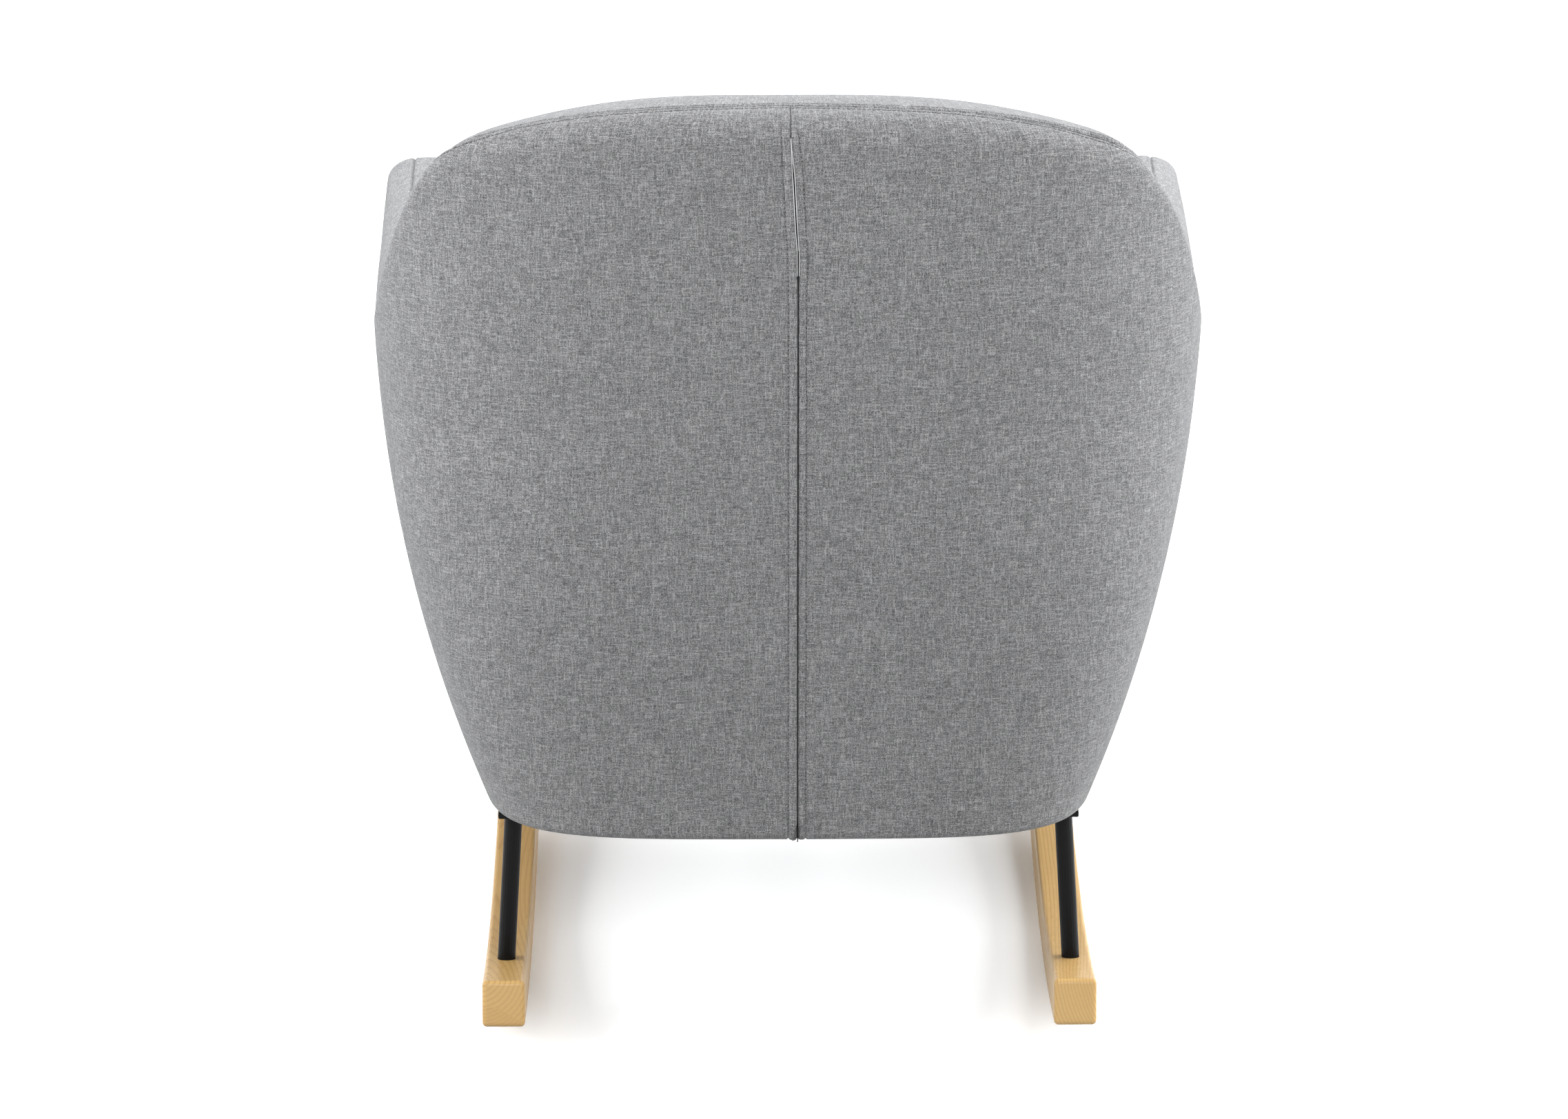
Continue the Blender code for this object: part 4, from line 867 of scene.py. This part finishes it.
def arm_front(label, side):
    """Crowned panel that closes the front of an arm."""
    depths = np.concatenate([[ROLL, ROLL + 0.0012, ROLL + 0.003, ROLL + 0.006],
                             np.linspace(ROLL + 0.010, WALL / 2, 9)])
    rings, weave = [], []
    height = rim_height(np.array(1.0)) - RIM_ROUND
    wall = np.linspace(0, 1, 60)
    turn = np.pi * np.linspace(0, 1, 40)[1:-1]
    floor = np.linspace(0, 1, 12)[1:-1]
    for depth in depths:
        low = SHELL_BOTTOM + depth
        half = WALL / 2 - depth
        rise = max(RIM_ROUND - depth, 0.0)
        z = np.concatenate([low + (height - low) * wall, height + rise * np.sin(turn),
                            height + (low - height) * wall, np.full(len(floor), low)])
        inset = np.concatenate([np.full(len(wall), depth), WALL / 2 - half * np.cos(turn),
                                np.full(len(wall), WALL - depth), WALL - depth + (2 * depth - WALL) * floor])
        points = shell(np.full(len(z), side * 1.0), z, inset)
        done = (depth - ROLL) / (WALL / 2 - ROLL)
        crown = ARM_CROWN * math.sqrt(max(1 - (1 - done) ** 2, 0.0))
        points[:, 1] = SHELL_FRONT + bump(depth - ROLL, FRONT_DIP, 0.002) - crown
        points[:, 1] += wander(points[:, 0], points[:, 2], 0.0008, 11.0 + side) * done
        rings.append(points)
        weave.append(weave_at(points[:, 0] + 5 * side, points[:, 2]))
    grid = np.array(rings)
    made = closed_sheet("arm_front_" + label, grid, facing(grid, (0, -1, 0)), CLOTH, np.array(weave),
                        CLOTH_LOOK, wrap=True)
    declare(made, "chair", ("arm_front_" + label,))


def apron():
    """Padded cover across the front of the seat, below the cushion."""
    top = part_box("apron_cover")[1].z
    path = [(APRON_TUCK, SHELL_BOTTOM)]
    for turn in np.linspace(0, 0.5 * np.pi, 9):
        path.append((SHELL_FRONT + HEM_ROLL * (1 - math.sin(turn)),
                     SHELL_BOTTOM + HEM_ROLL * (1 - math.cos(turn))))
    for part in np.linspace(0, 1, 22)[1:-1]:
        z = SHELL_BOTTOM + HEM_ROLL + (top - APRON_ROUND - SHELL_BOTTOM - HEM_ROLL) * part
        path.append((SHELL_FRONT - APRON_SWELL * math.sin(math.pi * part), z))
    for turn in np.linspace(0, 0.5 * np.pi, 12):
        path.append((SHELL_FRONT + APRON_ROUND * (1 - math.cos(turn)),
                     top - APRON_ROUND + APRON_ROUND * math.sin(turn)))
    path.append((APRON_END, top))
    path = np.array(path)
    across = np.sin(np.linspace(-0.5 * np.pi, 0.5 * np.pi, 70))
    reach = np.clip(ROLL - (path[:, 0] - SHELL_FRONT), 0, ROLL)
    wide = half_width(path[:, 1]) - WALL - APRON_GAP + ROLL - np.sqrt(ROLL ** 2 - reach ** 2)
    grid = np.stack(np.broadcast_arrays(wide[:, None] * across, path[:, :1], path[:, 1:]), -1)
    run = run_along(path)
    weave = weave_at(grid[..., 0] + 9, np.broadcast_to(run[:, None], grid.shape[:2]))

    def hint(points):
        return points - np.array((0.0, -0.25, 0.25))

    pinch = bump(1 - np.abs(across), 1.0, 0.03)[None, :]
    swell = wander(grid[..., 0], grid[..., 2], 0.0009, 5.0) - 0.003 * pinch
    inside = calm(run, 0.02) * calm(run[-1] - run, 0.02)
    sewn("apron_cover", grid, hint, swell * inside[:, None], weave, "apron_pad")


def flat_cloth(name, swell):
    """Stretched lining in place of a flat CAD sheet, with a little life in its surface."""
    low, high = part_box(name)
    corners = np.array([v.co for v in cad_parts[name].data.vertices])
    bottom = corners[corners[:, 2] < (low.z + high.z) / 2]
    rows, cols = 90, 70
    y = np.linspace(low.y + 0.0005, high.y - 0.0005, rows)
    left = bottom[bottom[:, 0] < 0]
    left = left[np.argsort(left[:, 1])]
    edge = np.interp(y, left[:, 1], left[:, 0]) * 0.995     # a hair inside the CAD sheet's edge
    across = np.linspace(-1, 1, cols)
    x, y_too = np.broadcast_arrays(-edge[:, None] * across, y[:, None])
    grid = np.stack([x, y_too, high.z + swell(x, y_too)], -1)
    made = closed_sheet(name, grid, facing(grid, (0, 0, 1)), high.z - low.z, weave_at(x, y_too), LINING_LOOK)
    declare(made, "chair", (name,))


def deck_swell(x, y):
    straps = np.cos(x * 2 * np.pi / 0.0613)     # the straps below it, by their spacing
    return -0.0003 + 0.0002 * straps + wander(x, y, 0.0001, 3.0)


def dust_swell(x, y):
    return wander(x, y, 0.0001, 9.0) - 0.0001


# Zip
TAPE_WIDE, TAPE_THICK, TAPE_UP = 0.0120, 0.0005, 0.022     # the tapes run on under the rim band
TAPE_DEEP, TAPE_NEAR = 0.0055, 0.0024   # depth behind the cover, lower down and in the opening
OPENS_AT, OPENS_OVER = 0.770, 0.014
EDGE_FROM, EDGE_TO, EDGE_DEPTH, EDGE_RADIUS = 0.744, 0.872, 0.0011, 0.00030
PULL_TOP, PULL_ROOM = 0.765, 0.00086    # the tape's edges keep clear of the pull below this height
COIL, COIL_OUT, COIL_TILT = (0.0011, 0.0038, 0.0005), 0.0009, 0.12


def zip_parts():
    """Pale tapes that show in the open top of the back seam, and the coil further down."""
    tape_low, tape_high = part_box("zip_tape_left")
    heights = np.linspace(tape_low.z, tape_high.z + TAPE_UP, 150)
    line = np.interp(heights, SLIT_HEIGHTS, SLIT_LINE)
    gape = np.interp(heights, GAPE_HEIGHTS, GAPE)
    foot_y, top_y = rear_y(SHELL_BOTTOM), rear_y(tape_high.z)
    straight = foot_y + (top_y - foot_y) * (heights - SHELL_BOTTOM) / (tape_high.z - SHELL_BOTTOM)
    deep = straight - TAPE_DEEP
    near = rear_y(heights) - TAPE_NEAR
    rise = np.clip((heights - OPENS_AT) / OPENS_OVER, 0, 1)
    rise = rise * rise * (3 - 2 * rise)
    tape_y = deep + (near - deep) * rise
    for label, side in (("left", -1), ("right", 1)):
        x = line + side * (0.0003 + 0.00055 * rise)
        grid = np.zeros((len(heights), 5, 3))
        for k, reach in enumerate(np.linspace(0, TAPE_WIDE, 5)):
            grid[:, k, 0] = x + side * reach
            grid[:, k, 1] = tape_y - 0.06 * reach * rise
            grid[:, k, 2] = heights
        tape = closed_sheet("zip_tape_" + label, grid, facing(grid, (0, 1, 0)), TAPE_THICK, grid, TAPE_LOOK)
        declare(tape, "chair", ("zip_tape_" + label,))
        show = (heights > EDGE_FROM) & (heights < EDGE_TO)
        # Wide enough apart for the pull to pass where it reaches them.
        apart = np.where(heights < PULL_TOP, np.maximum(gape - 0.0004, PULL_ROOM),
                         np.maximum(gape - 0.0005, 0.0001))
        edge = np.stack([line + side * apart, rear_y(heights) - EDGE_DEPTH, heights], -1)[show]
        declare(tube("zip_edge_" + label, edge, EDGE_RADIUS, TAPE_LOOK, 6), "chair")
    low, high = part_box("zip_chain")
    middle = (heights > low.z) & (heights < high.z)
    path = np.stack([line, deep + COIL_OUT, heights], -1)[middle]
    # The coil is near black: painted shade deep in the opening.
    coil = beads("zip_chain", path, facing(path, (0, 1, 0)), COIL, COIL_PAINTED_SHADE_LOOK, tilt=COIL_TILT, cross=True)
    declare(coil, "chair", ("zip_chain",))


# Seat cushion
PAD_SHRINK = np.array((0.007, 0.006, 0.012))    # the pad starts this much smaller, then swells
PAD_VOXEL, PAD_CAP, PAD_CLEAR = 0.006, 0.013, 0.0015
PAD_PRESSURE, PAD_STIFF, PAD_BEND, PAD_FRAMES = 4.0, 12.0, 0.8, 20
PAD_UNEVEN = 0.0012
WELT_LOW, WELT_HIGH = 0.020, 0.030      # seams, in from the CAD cushion's underside and top
WELT_RADIUS, WELT_OUT, WELT_POINTS = 0.0030, 0.0008, 260
WELT_DIP, WELT_SOFT = 0.0030, 0.0045


def puffed(source):
    """Copy of a CAD solid, drawn in a little, then swollen as a sewn bag would be."""
    work = source.copy()
    work.data = source.data.copy()
    work.parent = None
    work.matrix_world = Matrix.Identity(4)
    bpy.context.scene.collection.objects.link(work)
    coords = np.array([v.co for v in work.data.vertices])
    centre = (coords.min(0) + coords.max(0)) / 2
    half = (coords.max(0) - coords.min(0)) / 2
    coords = centre + (coords - centre) * (1 - PAD_SHRINK / half)
    work.data.vertices.foreach_set("co", coords.astype(np.float32).ravel())
    remesh = work.modifiers.new("remesh", "REMESH")
    remesh.mode = "VOXEL"
    remesh.voxel_size = PAD_VOXEL
    dg = bpy.context.evaluated_depsgraph_get()
    mesh = bpy.data.meshes.new_from_object(work.evaluated_get(dg))
    bpy.data.objects.remove(work)
    made = bpy.data.objects.new("seat_cushion_pad", mesh)
    bpy.context.scene.collection.objects.link(made)
    start = np.array([v.co for v in mesh.vertices])
    cloth = made.modifiers.new("cloth", "CLOTH")
    bag = cloth.settings
    bag.use_pressure, bag.uniform_pressure_force = True, PAD_PRESSURE
    bag.effector_weights.gravity = 0.0
    bag.tension_stiffness = bag.compression_stiffness = PAD_STIFF
    bag.bending_stiffness = PAD_BEND
    cloth.point_cache.frame_start = 1
    cloth.point_cache.frame_end = PAD_FRAMES
    scene = bpy.context.scene
    for step in range(1, PAD_FRAMES + 1):
        scene.frame_set(step)
    dg = bpy.context.evaluated_depsgraph_get()
    swollen = bpy.data.meshes.new_from_object(made.evaluated_get(dg))
    end = np.array([v.co for v in swollen.vertices])
    scene.frame_set(1)
    made.modifiers.clear()
    move = end - start
    length = np.linalg.norm(move, axis=1, keepdims=True)
    move = move * np.minimum(1, PAD_CAP / np.maximum(length, 1e-9))
    made.data.vertices.foreach_set("co", (start + move).astype(np.float32).ravel())
    bpy.data.meshes.remove(swollen)
    return made


def eased(work):
    """Three passes of smoothing."""
    for _ in range(3):
        bmesh.ops.smooth_vert(work, verts=work.verts, factor=0.5, use_axis_x=True, use_axis_y=True,
                              use_axis_z=True)


def seat_cushion():
    """The loose cushion: a swollen pad with welted seams round its top and underside."""
    low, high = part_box("seat_cushion")
    made = puffed(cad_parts["seat_cushion"])
    work = bmesh.new()
    work.from_mesh(made.data)
    eased(work)
    bmesh.ops.subdivide_edges(work, edges=work.edges, cuts=1, use_grid_fill=True, smooth=0.0)
    eased(work)
    work.to_mesh(made.data)
    work.free()
    mesh = made.data
    coords = np.array([v.co for v in mesh.vertices])
    coords[:, 2] = np.clip(coords[:, 2], low.z + 0.0002, None)
    levels = {"low": low.z + WELT_LOW, "high": high.z - WELT_HIGH}
    centre = np.array(((low.x + high.x) / 2, (low.y + high.y) / 2))
    half = np.array(((high.x - low.x) / 2, (high.y - low.y) / 2))
    # The finished pad fills the seat from side to side and from front to back.
    wide = np.abs(coords[:, :2] - centre).max(0)
    coords[:, :2] = centre + (coords[:, :2] - centre) * np.clip((half - PAD_CLEAR) / wide, 0.96, 1.05)
    flat = coords[:, :2] - centre
    outer = np.clip(((np.abs(flat) / half).max(1) - 0.86) / 0.1, 0, 1)
    pull = sum(bump(coords[:, 2] - level, WELT_DIP, WELT_SOFT) * outer for level in levels.values())
    out = unit(np.concatenate([flat, np.zeros((len(coords), 1))], 1))
    coords -= out * pull[:, None]
    coords += out * (outer * wander(coords[:, 0] + coords[:, 1], coords[:, 2], PAD_UNEVEN, 2.0))[:, None]
    top = calm(coords[:, 2] - levels["high"], 0.02)
    coords[:, 2] += top * wander(coords[:, 0], coords[:, 1], PAD_UNEVEN, 6.0)
    mesh.vertices.foreach_set("co", coords.astype(np.float32).ravel())
    mesh.update()
    # Cloth runs flat over the top and underside, and round the sides.
    spot = mesh.attributes.new("weave", "FLOAT_VECTOR", "CORNER")
    values = np.zeros((len(mesh.loops), 3), np.float32)
    for face in mesh.polygons:
        z = face.center.z
        for loop in face.loop_indices:
            x, y, h = coords[mesh.loops[loop].vertex_index]
            if levels["low"] < z < levels["high"]:
                if abs(face.normal.x) > abs(face.normal.y):
                    values[loop] = (y + 20, h, 0)
                else:
                    values[loop] = (x + 21, h, 0)
            else:
                values[loop] = (x + 22, y, 0)
    spot.data.foreach_set("vector", values.ravel())
    mesh.shade_smooth()
    mesh.materials.clear()
    mesh.materials.append(CLOTH_LOOK)
    declare(made, "seat_cushion", ("seat_cushion",))
    # Welts round the top and bottom edges lie on the finished pad.
    tree = BVHTree.FromPolygons([Vector(c) for c in coords], [tuple(p.vertices) for p in mesh.polygons])
    for label, level in levels.items():
        path = []
        for turn in np.linspace(0, 2 * np.pi, WELT_POINTS, endpoint=False):
            way = Vector((math.cos(turn), math.sin(turn), 0.0))
            start = Vector((centre[0], centre[1], level)) + way * 0.6
            hit = tree.ray_cast(start, -way)[0]
            path.append(hit + way * WELT_OUT)
        path = np.array(path)
        for _ in range(4):
            path = (np.roll(path, 1, 0) + 2 * path + np.roll(path, -1, 0)) / 4
        welt = tube("cushion_welt_" + label, path, WELT_RADIUS, CLOTH_LOOK, 10, closed=True, weave_shift=30.0)
        declare(welt, "seat_cushion")


# Studio
WORLD_LOW, WORLD_HIGH = 0.42, 0.95      # strength of the sky, below and overhead
WORLD_FROM, WORLD_TO = -0.25, 1.0
FLOOR_TONE = 1.22
FLOOR_CORNERS = ((-40, -60, 0), (40, -60, 0), (40, 20, 0), (-40, 20, 0))
# Name, place, target, size, power and spread in degrees of each light.
LIGHTS = (("left_box", (2.6, 0.35, 1.4), (0, 0.1, 0.5), (1.4, 1.6), 62.0, 180),
          ("right_box", (-2.6, 0.05, 1.25), (0, 0.1, 0.5), (1.4, 1.8), 84.0, 180),
          ("front_box", (-0.7, -1.7, 2.6), (0, 0.1, 0.6), (2.6, 1.6), 66.0, 180),
          ("rear_box", (0.2, 3.6, 2.2), (0, 0.4, 1.05), (1.6, 1.0), 12.4, 70))
CAMERA_PLACE, CAMERA_TILT, CAMERA_TURN = (0.0569, 6.2594, 2.6927), 20.675, -0.00887
SENSOR, FOCAL_PIXELS, IMAGE_PIXELS = 36.0, 10400, 2275


def sky():
    """Soft light that grows towards the zenith; seen directly, it is as pale as the floor."""
    world = bpy.data.worlds.new("studio")
    world.use_nodes = True
    tree = world.node_tree
    add, link = tree.nodes.new, tree.links.new
    back = tree.nodes["Background"]
    pale = add("ShaderNodeBackground")
    for shade in (back, pale):
        shade.inputs["Color"].default_value = (1.0, 1.0, 1.0, 1.0)
    split = add("ShaderNodeSeparateXYZ")
    link(add("ShaderNodeTexCoord").outputs["Generated"], split.inputs[0])
    rise = add("ShaderNodeMapRange")
    rise.interpolation_type = "SMOOTHSTEP"
    for key, value in (("From Min", WORLD_FROM), ("From Max", WORLD_TO), ("To Min", WORLD_LOW),
                       ("To Max", WORLD_HIGH)):
        rise.inputs[key].default_value = value
    link(split.outputs[2], rise.inputs["Value"])
    link(rise.outputs[0], back.inputs["Strength"])
    either = add("ShaderNodeMixShader")
    link(add("ShaderNodeLightPath").outputs["Is Camera Ray"], either.inputs[0])
    link(back.outputs[0], either.inputs[1])
    link(pale.outputs[0], either.inputs[2])
    link(either.outputs[0], tree.nodes["World Output"].inputs["Surface"])
    bpy.context.scene.world = world


def pale_floor():
    mesh = bpy.data.meshes.new("floor")
    mesh.from_pydata(FLOOR_CORNERS, [], [(0, 1, 2, 3)])
    floor = bpy.data.objects.new("floor", mesh)
    bpy.context.scene.collection.objects.link(floor)
    n = Nodes("floor_paper")
    mottle = n.grain(n.coords(), 3.0, 3.0, 0.5)
    paper = n.add("ShaderNodeBsdfDiffuse", {"Color": (FLOOR_TONE * 0.99, FLOOR_TONE, FLOOR_TONE * 1.01, 1.0)})
    n.link(n.bump(mottle, 0.0005, 0.1), paper.inputs["Normal"])
    n.link(paper.outputs[0], n.tree.nodes["Material Output"].inputs["Surface"])
    floor.visible_diffuse = False       # it takes the chair's shadow, and lights nothing
    mesh.materials.append(n.material)


def aimed(item, place, way):
    item.location = place
    item.rotation_euler = way.to_track_quat("-Z", "Y").to_euler()
    bpy.context.scene.collection.objects.link(item)


def studio():
    scene = bpy.context.scene
    scene.view_settings.view_transform = "Standard"
    scene.view_settings.look = "None"
    sky()
    pale_floor()
    for name, place, target, size, power, spread in LIGHTS:
        data = bpy.data.lights.new(name, "AREA")
        data.shape = "RECTANGLE"
        data.size, data.size_y = size
        data.energy = power
        data.spread = math.radians(spread)
        aimed(bpy.data.objects.new(name, data), place, Vector(target) - Vector(place))
    data = bpy.data.cameras.new("camera")
    data.sensor_fit = "HORIZONTAL"
    data.sensor_width = SENSOR
    data.lens = SENSOR * FOCAL_PIXELS / IMAGE_PIXELS
    data.clip_end = 200.0
    tilt = math.radians(CAMERA_TILT)
    flat = Vector((CAMERA_TURN, -1.0, 0.0)).normalized() * math.cos(tilt)
    scene.camera = bpy.data.objects.new("camera", data)
    aimed(scene.camera, CAMERA_PLACE, Vector((flat.x, flat.y, -math.sin(tilt))))


dress_cad_nodes()
for side_name, side_sign in (("left", -1), ("right", 1)):
    back_panel(side_name, side_sign)
    arm_front(side_name, side_sign)
rim_band_and_inner_cover()
apron()
flat_cloth("seat_deck_cloth", deck_swell)
flat_cloth("dust_cover", dust_swell)
zip_parts()
seat_cushion()
studio()
